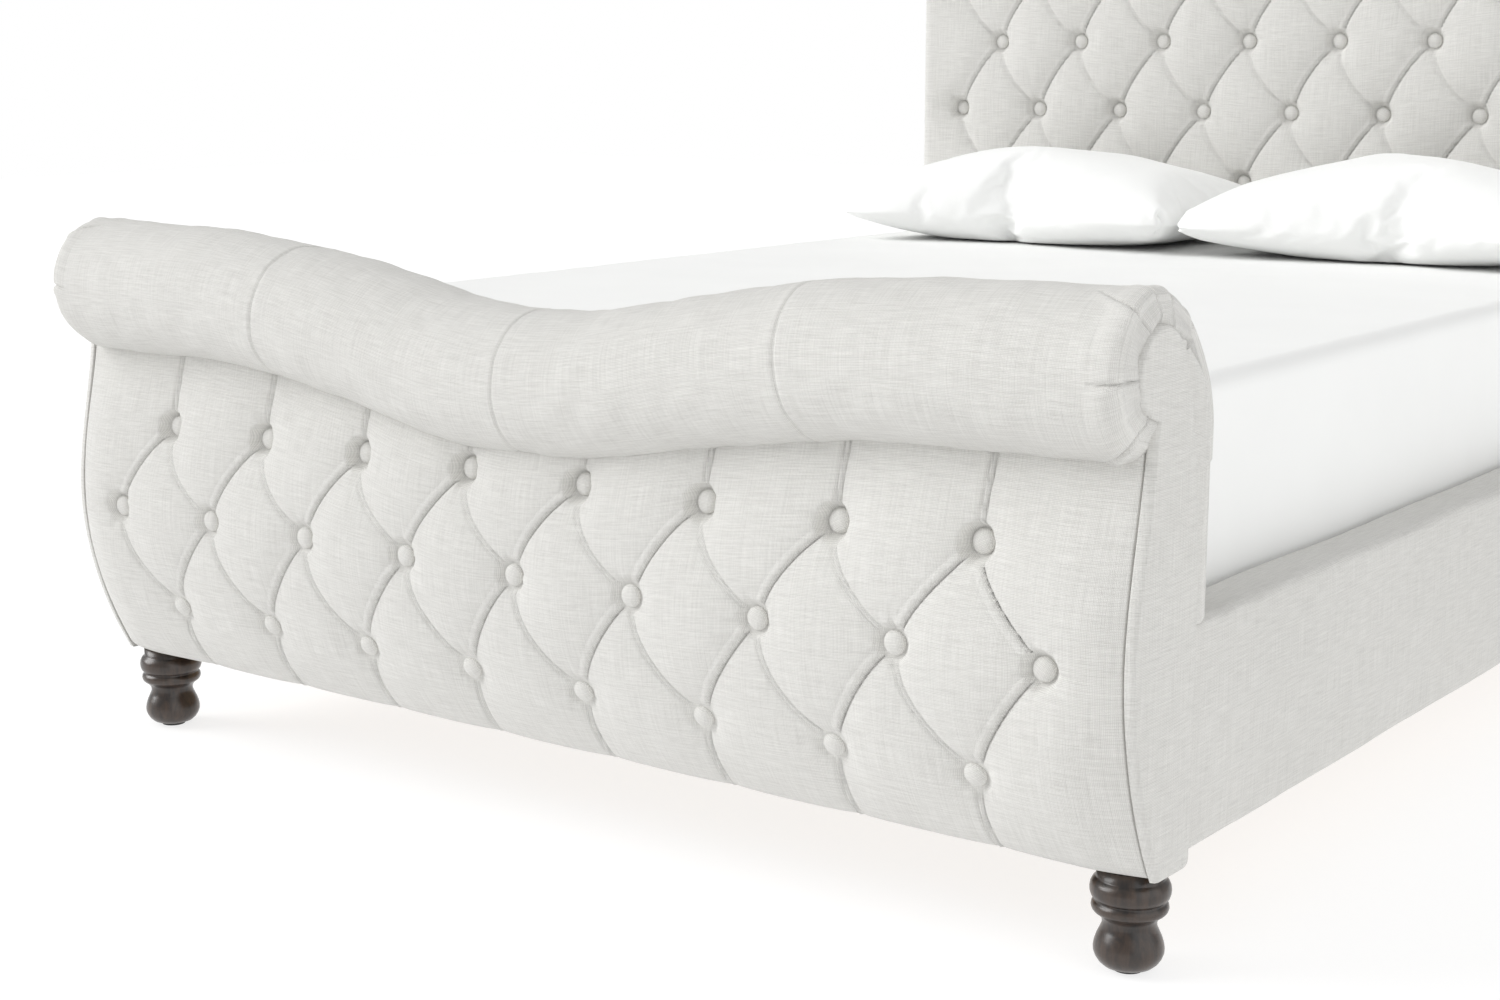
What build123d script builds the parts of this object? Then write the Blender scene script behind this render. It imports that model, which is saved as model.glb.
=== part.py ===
from build123d import *
import os
from math import asin, atan, cos, degrees, hypot, radians, sin, sqrt

# Upholstered sleigh bed. Millimetres. Origin on the floor under the middle of the mattress,
# +X to the right of a person standing at the foot, +Y towards the headboard, +Z up.
# Each end board has its own side view in (u, z): u runs outwards from the face that meets
# the mattress, so the same functions draw the footboard (side -1) and the headboard (side +1).

os.makedirs("parts", exist_ok=True)

# ---------------------------------------------------------------- driving dimensions

# mattress and the well that it lies in
mattress_width = 1524.0
mattress_length = 2032.0
mattress_thickness = 300.0
mattress_corner = 70.0
mattress_edge = 28.0
well_side_gap = 12.0
well_end_gap = 4.0
sheet_thickness = 1.2
sheet_lift = 4.0

# slats and what carries them
slat_top = 335.0
slat_thickness = 18.0
slat_width = 70.0
slat_count = 13
slat_end_gap = 5.0
slat_first_inset = 60.0
slat_corner = 12.0
ledger_width = 40.0
ledger_height = 30.0
beam_width = 40.0
beam_height = 90.0
leg_diameter = 45.0
leg_spacing = 640.0
leg_chamfer = 2.0
bracket_cup = 60.0             # how far the beam's bracket reaches along it
bracket_ear = 30.0
bracket_top_drop = 5.0

# side rails
rail_thickness = 70.0
rail_rise = 55.0               # rail's top above the slats
rail_lift = 2.5                # rail's underside above the end boards'
rail_outer_foam = 24.0
rail_inner_foam = 6.0
rail_top_foam = 12.0

# end boards
board_overhang = 21.0          # how far an end board stands out past the side rail
board_underside = 120.0
pad_depth = 74.0               # padding on the mattress side
ply = 6.0
end_frame_thickness = 28.0
end_panel_thickness = 12.0
post_width = 47.0
post_rise = 30.0               # posts stand this far above the rails
rib_thickness = 18.0
rail_stick_height = 40.0
rail_stick_depth = 44.0
headboard_back_foam = 18.0
dust_thickness = 1.5

# rolled top: a cylinder that follows a crest, low in the middle and level at the ends
roll_radius = 92.0
roll_foam = 22.0
roll_wall = 8.0
roll_offset = 93.0             # roll's centre line from the frame's flat back
roll_skirt = 110.0             # how far its cover reaches down the mattress side
skirt_lap = 20.0               # the pad below is cut to the cover over this height
shoulder_fill = 60.0           # bottom of the solid foam between roll and mattress side
footboard_roll_height = 674.0
headboard_roll_height = 1395.0
crest_dip = 76.0
crest_shoulder = 680.0         # from the middle to where the crest runs level
crest_valley_radius = 1050.0
board_top_drop = 34.0          # board edges stop this far below the roll's centre

# keyhole end panels: a round head on the roll's end, and a back edge beside the inner pad
panel_head_shift = 5.0         # outwards from the roll's centre
panel_head_rise = 8.0
panel_head_margin = 41.0       # roll showing round the head
panel_back_turn = 30.0         # degrees round the head where the back edge leaves it
panel_front_turn = 40.0
panel_neck_turn = 80.0
panel_back_lap = 1.0
panel_back_low = (12.0, 110.0)     # out from the frame's back, down from the roll's centre
panel_back_high = (29.5, 24.0)

# buttons
button_pitch = 190.0
button_diameter = 29.0
button_height = 9.0
button_rim = 3.0
button_margin = 60.0           # least room between a button and the end panel
twine_diameter = 3.0
toggle_length = 22.0
toggle_diameter = 7.0
twine_slack = 2.0
toggle_bite = 0.5              # twine let into the toggle
pocket_mouth = 36.0            # radius where a button's pocket opens
pocket_depth = 46.0

# feet
foot_inset_x = 53.0            # foot's centre from the end board's side
foot_offset = 33.5             # foot's centre from the frame's flat back
glide_height = 4.0
glide_diameter = 34.0
foot_bolt_diameter = 8.0
foot_bolt_in_foot = 45.0
foot_bolt_in_post = 34.0
foot_bead_radius = 45.5
foot_plate_size = 24.0
foot_plate_thickness = 3.0
foot_boss_wall = 4.0
foot_bolt_room = 1.0
foot_drawn_height = 116.0      # the turned profile is drawn this tall and stretched to fit

# rail hardware
plate_thickness = 3.0
plate_share = 0.75             # of the rail core's thickness that a plate covers
plate_height = 180.0
plate_inset = 40.0             # plates start this far above the end boards' underside
hook_thickness = 4.0
hook_height = 16.0
hook_reach = 8.0
hook_spacing = 110.0
hook_slot_room = 1.0
hook_drop_room = 8.0
hook_pocket_room = 2.0
hook_pocket_depth_room = 2.2
hook_pocket_drop = 14.0
receiver_extra = 16.0

# levellers under the centre legs
leveller_pad_diameter = 40.0
leveller_pad_height = 6.0
leveller_travel = 12.0
leveller_stud_diameter = 8.0
leveller_stud_length = 42.0
leveller_pad_round = 2.0
leveller_leg_gap = 2.0

# bedding
pillow_width = 732.0
pillow_depth = 500.0
pillow_height = 186.0
pillow_gap = 6.0
pillow_rest_gap = 0.4
pillow_corner = 60.0
pillow_edge = 58.0

# fits
fit_gap = 0.3
running_gap = 0.1

# ---------------------------------------------------------------- sizes that follow

well_face = mattress_length / 2 + well_end_gap
rail_inner = mattress_width / 2 + well_side_gap
rail_outer = rail_inner + rail_thickness
rail_top = slat_top + rail_rise
rail_underside = board_underside + rail_lift
board_half = rail_outer + board_overhang
pad_half = board_half - end_panel_thickness
frame_inner = pad_half - end_frame_thickness
post_inner = frame_inner - post_width
core_outer = rail_outer - rail_outer_foam
core_inner = rail_inner + rail_inner_foam
plate_width = plate_share * (core_outer - core_inner)
core_top = rail_top - rail_top_foam
former_radius = roll_radius - roll_foam
slat_underside = slat_top - slat_thickness
frame_face = well_face + pad_depth
foot_height = board_underside
roll_reach = pad_depth + roll_offset
foot_reach = pad_depth + foot_offset
plate_bottom = board_underside + plate_inset
wide_row = 2 * int((pad_half - button_margin) / button_pitch) + 1
narrow_row = wide_row - 1

FOOT = -1
HEAD = 1

# Side views are drawn from the frame's flat back and the underside, for a roll this high above
# the underside, and stretched upwards when a board is made taller.
foot_drawn_roll = 554.0
head_drawn_roll = 1275.0


def level(height, roll_height, drawn_roll):
    """A drawn height, stretched to suit the roll and measured from the floor."""
    return board_underside + height * (roll_height - board_underside) / drawn_roll


def foot_point(out, height):
    """A point of the footboard's side view as (u, z)."""
    return pad_depth + out, level(height, footboard_roll_height, foot_drawn_roll)


def head_point(out, height):
    """A point of the headboard's side view as (u, z)."""
    return pad_depth + out, level(height, headboard_roll_height, head_drawn_roll)


# The board line is the outside of the curved plywood; the seam line is where the cover meets
# the end panel; the pad line is the crown of the foam between buttons.
foot_top = footboard_roll_height - board_top_drop
head_top = headboard_roll_height - board_top_drop
foot_board_line = [foot_point(56, 0), foot_point(98, 245), (pad_depth + 72, foot_top)]
foot_seam_line = [foot_point(69.5, 0), foot_point(122.5, 120), foot_point(144, 250),
                  foot_point(122.5, 405)]
foot_pad_line = [foot_point(76, 0), foot_point(132, 105), foot_point(163, 242),
                 foot_point(147, 375), (pad_depth + 114, foot_top)]
head_board_line = [head_point(56, 0), head_point(76, 580), (pad_depth + 72, head_top)]
head_seam_line = [head_point(74, 0), head_point(94, 580), head_point(96, 980)]

# Button rows as (seat's u and z, lean of the button's face in degrees, number of buttons)
foot_rows = [(foot_point(123.5, 102), -19, narrow_row), (foot_point(143.5, 241), 0, wide_row),
             (foot_point(114.5, 363), 11, narrow_row)]
head_rows = [(head_point(-41, 625), 0, narrow_row), (head_point(-41, 765), 0, wide_row),
             (head_point(-41, 905), 0, narrow_row), (head_point(-41, 1045), 0, wide_row)]

# undersides of the horizontal sticks, bottom one first
foot_sticks = [foot_point(0, height)[1] for height in (0, 310)]
head_sticks = [head_point(0, height)[1] for height in (0, 440, 680, 970)]


# ---------------------------------------------------------------- helpers

def save(name, shape):
    """One STEP file for one sub-part; a list becomes a group of separate solids."""
    solids = shape if isinstance(shape, list) else [shape]
    flat = [solid for item in solids for solid in item.solids()]
    body = flat[0] if len(flat) == 1 else Compound(children=flat)
    body.label = name
    export_step(body, f"parts/{name}.step")


def block(x0, x1, y0, y1, z0, z1):
    """A box given by its two corners."""
    return Pos((x0 + x1) / 2, (y0 + y1) / 2, (z0 + z1) / 2) * Box(
        abs(x1 - x0), abs(y1 - y0), abs(z1 - z0))


def board_block(side, x0, x1, u0, u1, z0, z1):
    """A box given in an end board's own (u, z)."""
    return block(x0, x1, side * (well_face + u0), side * (well_face + u1), z0, z1)


def side_view(side, x):
    """The plane of an end board's side view at x."""
    return Plane(origin=(x, side * well_face, 0), x_dir=(0, side, 0), z_dir=(side, 0, 0))


def prism(side, outline, x0, x1):
    """A side-view outline made solid from x0 to x1."""
    return extrude(side_view(side, x0) * outline, amount=x1 - x0, dir=(1, 0, 0))


def arc_circle(line):
    """Centre and radius of the circle through a three-point board line."""
    (ax, ay), (bx, by), (cx, cy) = line
    d = 2 * (ax * (by - cy) + bx * (cy - ay) + cx * (ay - by))
    ux = ((ax**2 + ay**2) * (by - cy) + (bx**2 + by**2) * (cy - ay)
          + (cx**2 + cy**2) * (ay - by)) / d
    uy = ((ax**2 + ay**2) * (cx - bx) + (bx**2 + by**2) * (ax - cx)
          + (cx**2 + cy**2) * (bx - ax)) / d
    return ux, uy, hypot(ax - ux, ay - uy)


def board_u(line, z):
    """Where the curved plywood's outside is at height z."""
    cx, cy, r = arc_circle(line)
    return cx + sqrt(r**2 - (z - cy) ** 2)


# ---------------------------------------------------------------- rolled top

def crest_path(roll_height, half_length, drop=0.0):
    """The crest seen from the front: level, down over a shoulder, through the valley, and back."""
    half_turn = atan(crest_dip / crest_shoulder)
    turn = degrees(2 * half_turn)
    both_radii = crest_shoulder / sin(2 * half_turn)
    shoulder_radius = both_radii - crest_valley_radius
    z = roll_height - drop
    level = Line((-half_length, z), (-crest_shoulder, z))
    left = JernArc(level @ 1, level % 1, shoulder_radius, -turn)
    valley = JernArc(left @ 1, left % 1, crest_valley_radius, 2 * turn)
    right = JernArc(valley @ 1, valley % 1, shoulder_radius, -turn)
    out = Line(right @ 1, (half_length, z))
    return level, left, valley, right, out


def front_view(y):
    """The plane in which the crest is drawn, looking along +Y."""
    return Plane(origin=(0, y, 0), x_dir=(1, 0, 0), z_dir=(0, -1, 0))


def along_crest(side, outline, roll_height, half_length):
    """Sweep a side-view outline, drawn about the roll's centre, along the crest."""
    y = side * (well_face + roll_reach)
    path = front_view(y) * Wire(list(crest_path(roll_height, half_length)))
    start = side_view(side, -half_length) * Pos(roll_reach, roll_height, 0) * outline
    return sweep(start, path=path)


def cover_outline():
    """The roll with its cover running on over the top and down the mattress side."""
    drop = roll_reach - roll_radius
    back = [
        ThreePointArc((-roll_reach, -drop),
                      (-roll_reach * cos(radians(45)), roll_reach * sin(radians(45)) - drop),
                      (0, roll_radius)),
        Line((0, roll_radius), (0, -shoulder_fill)),
        Line((0, -shoulder_fill), (pad_depth - roll_reach, -shoulder_fill)),
        Line((pad_depth - roll_reach, -shoulder_fill), (pad_depth - roll_reach, -roll_skirt)),
        Line((pad_depth - roll_reach, -roll_skirt), (-roll_reach, -roll_skirt)),
        Line((-roll_reach, -roll_skirt), (-roll_reach, -drop)),
    ]
    return Circle(roll_radius) + make_face(back)


def below_crest(side, roll_height, drop):
    """Everything further than drop below the crest, as a solid to trim with."""
    edges = list(crest_path(roll_height, board_half, drop))
    z = roll_height - drop
    edges += [Line((board_half, z), (board_half, 0)), Line((board_half, 0), (-board_half, 0)),
              Line((-board_half, 0), (-board_half, z))]
    depth = 2 * roll_reach
    y = side * well_face - depth if side < 0 else side * well_face
    return extrude(front_view(y) * make_face(edges), amount=depth, dir=(0, 1, 0))


# ---------------------------------------------------------------- end boards

def board_outline(line, u_back, u_trim, z_top):
    """Side view between a flat back at u_back and the curved plywood, less u_trim."""
    curve = Pos(-u_trim, 0, 0) * ThreePointArc(*line)
    low = curve @ 0
    high = curve @ 1
    return make_face([
        curve,
        Line((high.X, high.Y), (u_back, z_top)),
        Line((u_back, z_top), (u_back, low.Y)),
        Line((u_back, low.Y), (low.X, low.Y)),
    ])


def panel_outline(seam_line, roll_height):
    """Keyhole end panel: a round head over a body that follows the seam line."""
    head_u = roll_reach + panel_head_shift
    head_z = roll_height + panel_head_rise
    head_r = roll_radius - panel_head_margin

    def round_head(turn):
        """The head's edge at a turn in degrees below its front."""
        return head_u + head_r * cos(radians(turn)), head_z - head_r * sin(radians(turn))

    back_top = round_head(180 + panel_back_turn)
    back_foot = (pad_depth - panel_back_lap, board_underside)
    leave = radians(panel_back_turn)
    back = Spline(back_foot,
                  (pad_depth + panel_back_low[0], roll_height - panel_back_low[1]),
                  (pad_depth + panel_back_high[0], roll_height - panel_back_high[1]),
                  back_top, tangents=[(0, 1), (sin(leave), cos(leave))])
    arc_from_back = ThreePointArc(back_top, round_head(-90), round_head(0))
    arc_to_neck = ThreePointArc(round_head(0), round_head(panel_front_turn),
                                round_head(panel_neck_turn))
    front = Spline(*seam_line, round_head(panel_neck_turn))
    foot = Line(back_foot, seam_line[0])
    return make_face([back, arc_from_back, arc_to_neck, front, foot])


def strip_outline(inner_curve, outer_curve):
    """Side view of the foam between two curves drawn from bottom to top."""
    return make_face([inner_curve, outer_curve, Line(inner_curve @ 0, outer_curve @ 0),
                      Line(inner_curve @ 1, outer_curve @ 1)])


def button_places(rows):
    """Every button of a tufted face, as x, seat u, z and lean."""
    for (u, z), lean, count in rows:
        for i in range(count):
            yield (i - (count - 1) / 2) * button_pitch, u, z, lean


def button_seat(side, outward, x, u, z, lean):
    """Where a button sits: local Z points out of the cover."""
    tilt = radians(lean)
    return Plane(origin=(x, side * (well_face + u), z), x_dir=(1, 0, 0),
                 z_dir=(0, side * outward * cos(tilt), sin(tilt))).location


def button():
    """A covered button: short rim and a domed face."""
    r = button_diameter / 2
    dome = button_height - button_rim
    sphere = (r**2 + dome**2) / (2 * dome)
    turn = asin(r / sphere) / 2
    half = make_face([
        Line((0, 0), (r, 0)), Line((r, 0), (r, button_rim)),
        ThreePointArc((r, button_rim), (sphere * sin(turn), button_height - sphere * (1 - cos(turn))),
                      (0, button_height)),
        Line((0, button_height), (0, 0)),
    ])
    return revolve(Plane.XZ * half, axis=Axis.Z)


def button_pocket(tie_length):
    """The hollow that a button pulls in the foam, with the twine's hole behind it."""
    r = button_diameter / 2 + running_gap
    bore = twine_diameter / 2 + running_gap
    funnel = make_face([Polyline((0, 0), (r, 0), (r, button_rim), (pocket_mouth, pocket_depth),
                                 (0, pocket_depth), (0, 0))])
    return revolve(Plane.XZ * funnel, axis=Axis.Z) + Pos(0, 0, -tie_length / 2) * Cylinder(
        bore, tie_length)


def button_tie(length):
    """Twine from a button's back to the toggle that holds it behind the board."""
    twine = Pos(0, 0, -length / 2) * Cylinder(twine_diameter / 2, length)
    bar = Pos(0, 0, -length - toggle_diameter / 2 + toggle_bite) * Rot(0, 90, 0) * Cylinder(
        toggle_diameter / 2, toggle_length)
    return twine + bar


def make_end_board(name, side, roll_height, board_line, seam_line, rows, tufted_outside,
                   stick_heights):
    """All the sub-parts of the footboard or the headboard."""
    under = below_crest(side, roll_height, board_top_drop)
    cover = along_crest(side, cover_outline(), roll_height, pad_half)
    core = along_crest(side, Circle(former_radius), roll_height, pad_half)
    bore = along_crest(side, Circle(former_radius - roll_wall), roll_height, pad_half)
    z_top = roll_height - board_top_drop

    # end frames: shaped plywood with a round head that the roll is built on
    head = Pos(roll_reach, roll_height, 0) * Circle(former_radius)
    frame_outline = board_outline(board_line, pad_depth, 0, z_top) + head
    frames = {}
    for end, x0, x1 in (("left", -pad_half, -frame_inner), ("right", frame_inner, pad_half)):
        frames[end] = prism(side, frame_outline, x0, x1)
        save(f"{name}_end_frame_{end}", frames[end])

    # the hollow between the boards, which ribs, posts and sticks share
    hollow = board_outline(board_line, pad_depth + ply, ply, z_top)

    # horizontal sticks
    sticks = [board_block(side, -post_inner, post_inner, pad_depth + ply,
                          pad_depth + ply + rail_stick_depth, z, z + rail_stick_height)
              for z in stick_heights]
    save(f"{name}_cross_rails", sticks)

    # ribs stand half way between two columns of buttons, notched over the sticks
    ribs = []
    step = button_pitch / 2
    count = int((post_inner - step) // (3 * step))
    for i in range(count):
        for hand in (-1, 1):
            x = hand * (1.5 + 3 * i) * step
            rib = prism(side, hollow, x - rib_thickness / 2, x + rib_thickness / 2)
            rib = (rib & under) - core
            for stick in sticks:
                rib -= stick
            ribs.append(rib)
    save(f"{name}_ribs", ribs)

    # corner posts carry the feet and the side rails' hooks
    posts = []
    low_outline = hollow & Pos(0, (rail_top + post_rise) / 2, 0) * Rectangle(
        2 * well_face, rail_top + post_rise)
    for hand in (-1, 1):
        x0, x1 = sorted((hand * post_inner, hand * frame_inner))
        post = prism(side, low_outline, x0, x1)
        post -= foot_fixing_cut(side, hand)
        post -= hook_pockets(side, hand)
        posts.append(post)
    save(f"{name}_corner_posts", posts)

    # plywood faces: one curved, one flat; the twine of the buttons goes through one of them
    curved = prism(side, board_outline(board_line, pad_depth + ply, 0, z_top)
                   - board_outline(board_line, pad_depth + ply, ply, z_top),
                   -frame_inner, frame_inner)
    curved = (curved & under) - core
    flat = board_block(side, -frame_inner, frame_inner, pad_depth, pad_depth + ply,
                       board_underside, z_top) & under
    flat -= hook_pockets(side, -1)
    flat -= hook_pockets(side, 1)

    # foam and cover of both faces
    curve = ThreePointArc(*board_line)
    notch = [block(hand * (rail_inner - fit_gap), hand * (board_half + 1),
                   side * (well_face - 1), side * (frame_face + 1),
                   board_underside - 1, rail_top + fit_gap) for hand in (-1, 1)]
    inside = board_block(side, -pad_half, pad_half, 0, pad_depth, slat_underside, roll_height)
    inside &= below_crest(side, roll_height, roll_skirt - skirt_lap)
    inside = (inside - cover) - notch
    if tufted_outside:
        outer_curve = Spline(*foot_pad_line)
    else:
        outer_curve = Pos(headboard_back_foam, 0, 0) * ThreePointArc(*board_line)
    outside = prism(side, strip_outline(curve, outer_curve), -pad_half, pad_half)

    # buttons, their pockets in the foam and their twine through the board
    outward = 1 if tufted_outside else -1
    buttons, ties, pockets, holes = [], [], [], []
    for x, u, z, lean in button_places(rows):
        behind = board_u(board_line, z) - ply if tufted_outside else pad_depth + ply
        length = abs(u - behind) / cos(radians(lean)) + twine_slack
        seat = button_seat(side, outward, x, u, z, lean)
        pockets.append(seat * button_pocket(length + ply))
        holes.append(seat * Pos(0, 0, -length / 2) * Cylinder(twine_diameter, length + ply))
        buttons.append(seat * button())
        ties.append(seat * button_tie(length))
    if tufted_outside:
        outside -= pockets
    else:
        inside -= pockets
    outside -= cover
    tufted, plain = (outside, inside) if tufted_outside else (inside, outside)
    board = (curved if tufted_outside else flat) - holes
    save(f"{name}_buttons", buttons)
    save(f"{name}_button_ties", ties)
    save(f"{name}_tufted_pad", tufted)
    save(f"{name}_plain_pad", plain)
    save(f"{name}_curved_board", board if tufted_outside else curved)
    save(f"{name}_flat_board", flat if tufted_outside else board)

    # rolled top: hollow former between the end frames, foam and cover round it
    former = core - bore - frames["left"] - frames["right"]
    save(f"{name}_roll_former", former)
    body = prism(side, board_outline(board_line, pad_depth, 0, z_top), -pad_half, pad_half) & under
    save(f"{name}_roll_pad", cover - core - body - frames["left"] - frames["right"])

    # padded end panels, one at each side
    outline = panel_outline(seam_line, roll_height)
    save(f"{name}_end_panel_left", prism(side, outline, -board_half, -pad_half))
    save(f"{name}_end_panel_right", prism(side, outline, pad_half, board_half))

    # dust cover tacked underneath, cut away round the feet
    dust = board_block(side, -frame_inner, frame_inner, pad_depth, board_line[0][0],
                       board_underside - dust_thickness, board_underside)
    for hand in (-1, 1):
        dust -= foot_place(side, hand) * Cylinder(foot_bead_radius + 1, 4 * board_underside)
    save(f"{name}_dust_cover", dust)


# ---------------------------------------------------------------- feet

def foot_place(side, hand):
    """The floor point under a foot."""
    return Pos(hand * (board_half - foot_inset_x), side * (well_face + foot_reach), 0)


def turned_foot():
    """Turned hardwood foot: ball, waist, two beads and a collar."""
    def cut(radius, height):
        """A point of the profile, from its drawn height above the glide."""
        return radius, glide_height + height * (foot_height - glide_height) / foot_drawn_height

    sole, middle = cut(22, 0), cut(0, 0)
    ball = [sole, cut(34, 7), cut(40, 21), cut(36.5, 36), cut(30.5, 51), cut(33, 60), cut(40.5, 65)]
    small_bead = [cut(40.5, 65), cut(43.5, 71), cut(41, 77)]
    groove = [cut(41, 77), cut(39.5, 78.5), cut(41, 80)]
    large_bead = [cut(41, 80), cut(foot_bead_radius, 91), cut(42, 102)]
    collar, shoulder, top = cut(38, 105), (38, foot_height), (0, foot_height)
    profile = make_face([
        Line(middle, sole), Spline(*ball), ThreePointArc(*small_bead), ThreePointArc(*groove),
        ThreePointArc(*large_bead), Line(large_bead[-1], collar), Line(collar, shoulder),
        Line(shoulder, top), Line(top, middle),
    ])
    bore = Pos(0, 0, foot_height - foot_bolt_in_foot / 2) * Cylinder(
        foot_bolt_diameter / 2, foot_bolt_in_foot)
    return revolve(Plane.XZ * profile, axis=Axis.Z) - bore


def foot_bolt():
    """Hanger bolt, half in the foot and half in the plate's boss."""
    length = foot_bolt_in_foot + foot_bolt_in_post
    return Pos(0, 0, foot_height - foot_bolt_in_foot + length / 2) * Cylinder(
        foot_bolt_diameter / 2, length)


def foot_plate(gap=0.0):
    """Square plate with a threaded boss, let into the underside of the post."""
    size = foot_plate_size + 2 * gap
    plate = Pos(0, 0, board_underside + foot_plate_thickness / 2) * Box(
        size, size, foot_plate_thickness)
    boss = Pos(0, 0, board_underside + foot_bolt_in_post / 2) * Cylinder(
        foot_bolt_diameter / 2 + foot_boss_wall + gap, foot_bolt_in_post)
    return plate + boss


def foot_fixing_cut(side, hand):
    """Room in a corner post for the foot's plate, boss and bolt."""
    bolt_way = Pos(0, 0, board_underside + foot_bolt_in_post / 2) * Cylinder(
        foot_bolt_diameter / 2 + foot_bolt_room, foot_bolt_in_post + foot_boss_wall)
    return foot_place(side, hand) * (foot_plate() + bolt_way)


# ---------------------------------------------------------------- side rails and hardware

def hook_levels():
    """Heights of the two hooks on each rail end."""
    middle = plate_bottom + plate_height / 2
    return [middle - hook_spacing / 2, middle + hook_spacing / 2]


def hook_pockets(side, hand):
    """Slots behind the receiver plate for the hooks to drop into."""
    x = hand * (core_inner + core_outer) / 2
    y = side * (frame_face + hook_reach / 2 + hook_pocket_room / 2)
    slots = [Pos(x, y, z) * Box(hook_thickness + hook_pocket_room, hook_reach + hook_pocket_depth_room,
                                hook_height + hook_pocket_drop) for z in hook_levels()]
    return slots[0] + slots[1]


def make_rails():
    """Side rails with their skins, ledgers and hook-on hardware."""
    rail_end = frame_face - 2 * plate_thickness
    skin_end = frame_face - fit_gap
    ledgers, hooks, receivers = [], [], []
    for hand, end in ((-1, "left"), (1, "right")):
        core = block(hand * core_inner, hand * core_outer, -rail_end, rail_end,
                     rail_underside, core_top)
        save(f"side_rail_core_{end}", core)
        skin = block(hand * rail_inner, hand * rail_outer, -skin_end, skin_end,
                     rail_underside, rail_top)
        skin -= block(hand * core_inner, hand * core_outer, -well_face * 2, well_face * 2,
                      rail_underside - 1, core_top)
        skin -= block(hand * (rail_inner - 1), hand * core_inner, -well_face * 2, well_face * 2,
                      rail_underside - 1, slat_underside)
        save(f"side_rail_pad_{end}", skin)
        ledgers.append(block(hand * (core_inner - ledger_width), hand * core_inner,
                             -well_face, well_face,
                             slat_underside - ledger_height, slat_underside))
        x = hand * (core_inner + core_outer) / 2
        for side in (FOOT, HEAD):
            y_rail = side * (frame_face - 1.5 * plate_thickness)
            y_board = side * (frame_face - 0.5 * plate_thickness)
            z = plate_bottom + plate_height / 2
            hook = Pos(x, y_rail, z) * Box(plate_width, plate_thickness, plate_height)
            receiver = Pos(x, y_board, z) * Box(plate_width, plate_thickness,
                                                plate_height + receiver_extra)
            for level in hook_levels():
                reach = plate_thickness + hook_reach
                y_hook = side * (frame_face - plate_thickness + reach / 2)
                hook += Pos(x, y_hook, level) * Box(hook_thickness, reach, hook_height)
                receiver -= Pos(x, y_board, level) * Box(
                    hook_thickness + hook_slot_room, plate_thickness, hook_height + hook_drop_room)
            hooks.append(hook)
            receivers.append(receiver)
    save("slat_ledgers", ledgers)
    save("rail_hook_plates", hooks)
    save("rail_receiver_plates", receivers)


# ---------------------------------------------------------------- slats, beam, legs

def make_base():
    """Slats on a centre beam, with legs and screw levellers."""
    half = rail_inner - slat_end_gap
    first = -well_face + slat_first_inset + slat_width / 2
    pitch = -2 * first / (slat_count - 1)
    slats = [Pos(0, first + i * pitch, slat_top - slat_thickness / 2) * fillet(
        Box(2 * half, slat_width, slat_thickness).edges().filter_by(Axis.Z), slat_corner)
        for i in range(slat_count)]
    save("slats", slats)

    beam_end = frame_face - plate_thickness - fit_gap
    beam_bottom = slat_underside - beam_height
    save("centre_beam", block(-beam_width / 2, beam_width / 2, -beam_end, beam_end,
                              beam_bottom, slat_underside))

    brackets = []
    for side in (FOOT, HEAD):
        out = beam_width / 2 + plate_thickness
        y_back = side * frame_face
        y_front = side * (frame_face - bracket_cup)
        cup = block(-out, out, y_front, y_back, beam_bottom - plate_thickness,
                    slat_underside - bracket_top_drop)
        cup -= block(-beam_width / 2, beam_width / 2, y_front - side,
                     side * (frame_face - plate_thickness), beam_bottom,
                     slat_underside + bracket_top_drop)
        ears = block(-out - bracket_ear, out + bracket_ear, side * (frame_face - plate_thickness),
                     y_back, beam_bottom - plate_thickness, slat_underside - bracket_top_drop)
        brackets.append(cup + ears)
    save("beam_brackets", brackets)

    leg_bottom = leveller_pad_height + leveller_travel + leveller_leg_gap
    leg_length = beam_bottom - leg_bottom
    for place, y in (("front", -leg_spacing), ("middle", 0.0), ("rear", leg_spacing)):
        leg = Pos(0, y, leg_bottom + leg_length / 2) * Cylinder(leg_diameter / 2, leg_length)
        leg = chamfer(leg.edges().sort_by(Axis.Z)[0], leg_chamfer)
        hole_length = leveller_stud_length + leveller_travel + leveller_leg_gap
        leg -= Pos(0, y, hole_length / 2 + leveller_pad_height) * Cylinder(
            leveller_stud_diameter / 2 + fit_gap, hole_length)
        save(f"centre_leg_{place}", leg)
        stud = Pos(0, y, leveller_pad_height + leveller_stud_length / 2) * Cylinder(
            leveller_stud_diameter / 2, leveller_stud_length)
        pad = Pos(0, y, leveller_pad_height / 2) * Cylinder(
            leveller_pad_diameter / 2, leveller_pad_height)
        pad = fillet(pad.edges().sort_by(Axis.Z)[-1], leveller_pad_round)
        save(f"leveller_{place}", stud + pad)


# ---------------------------------------------------------------- bedding

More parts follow.
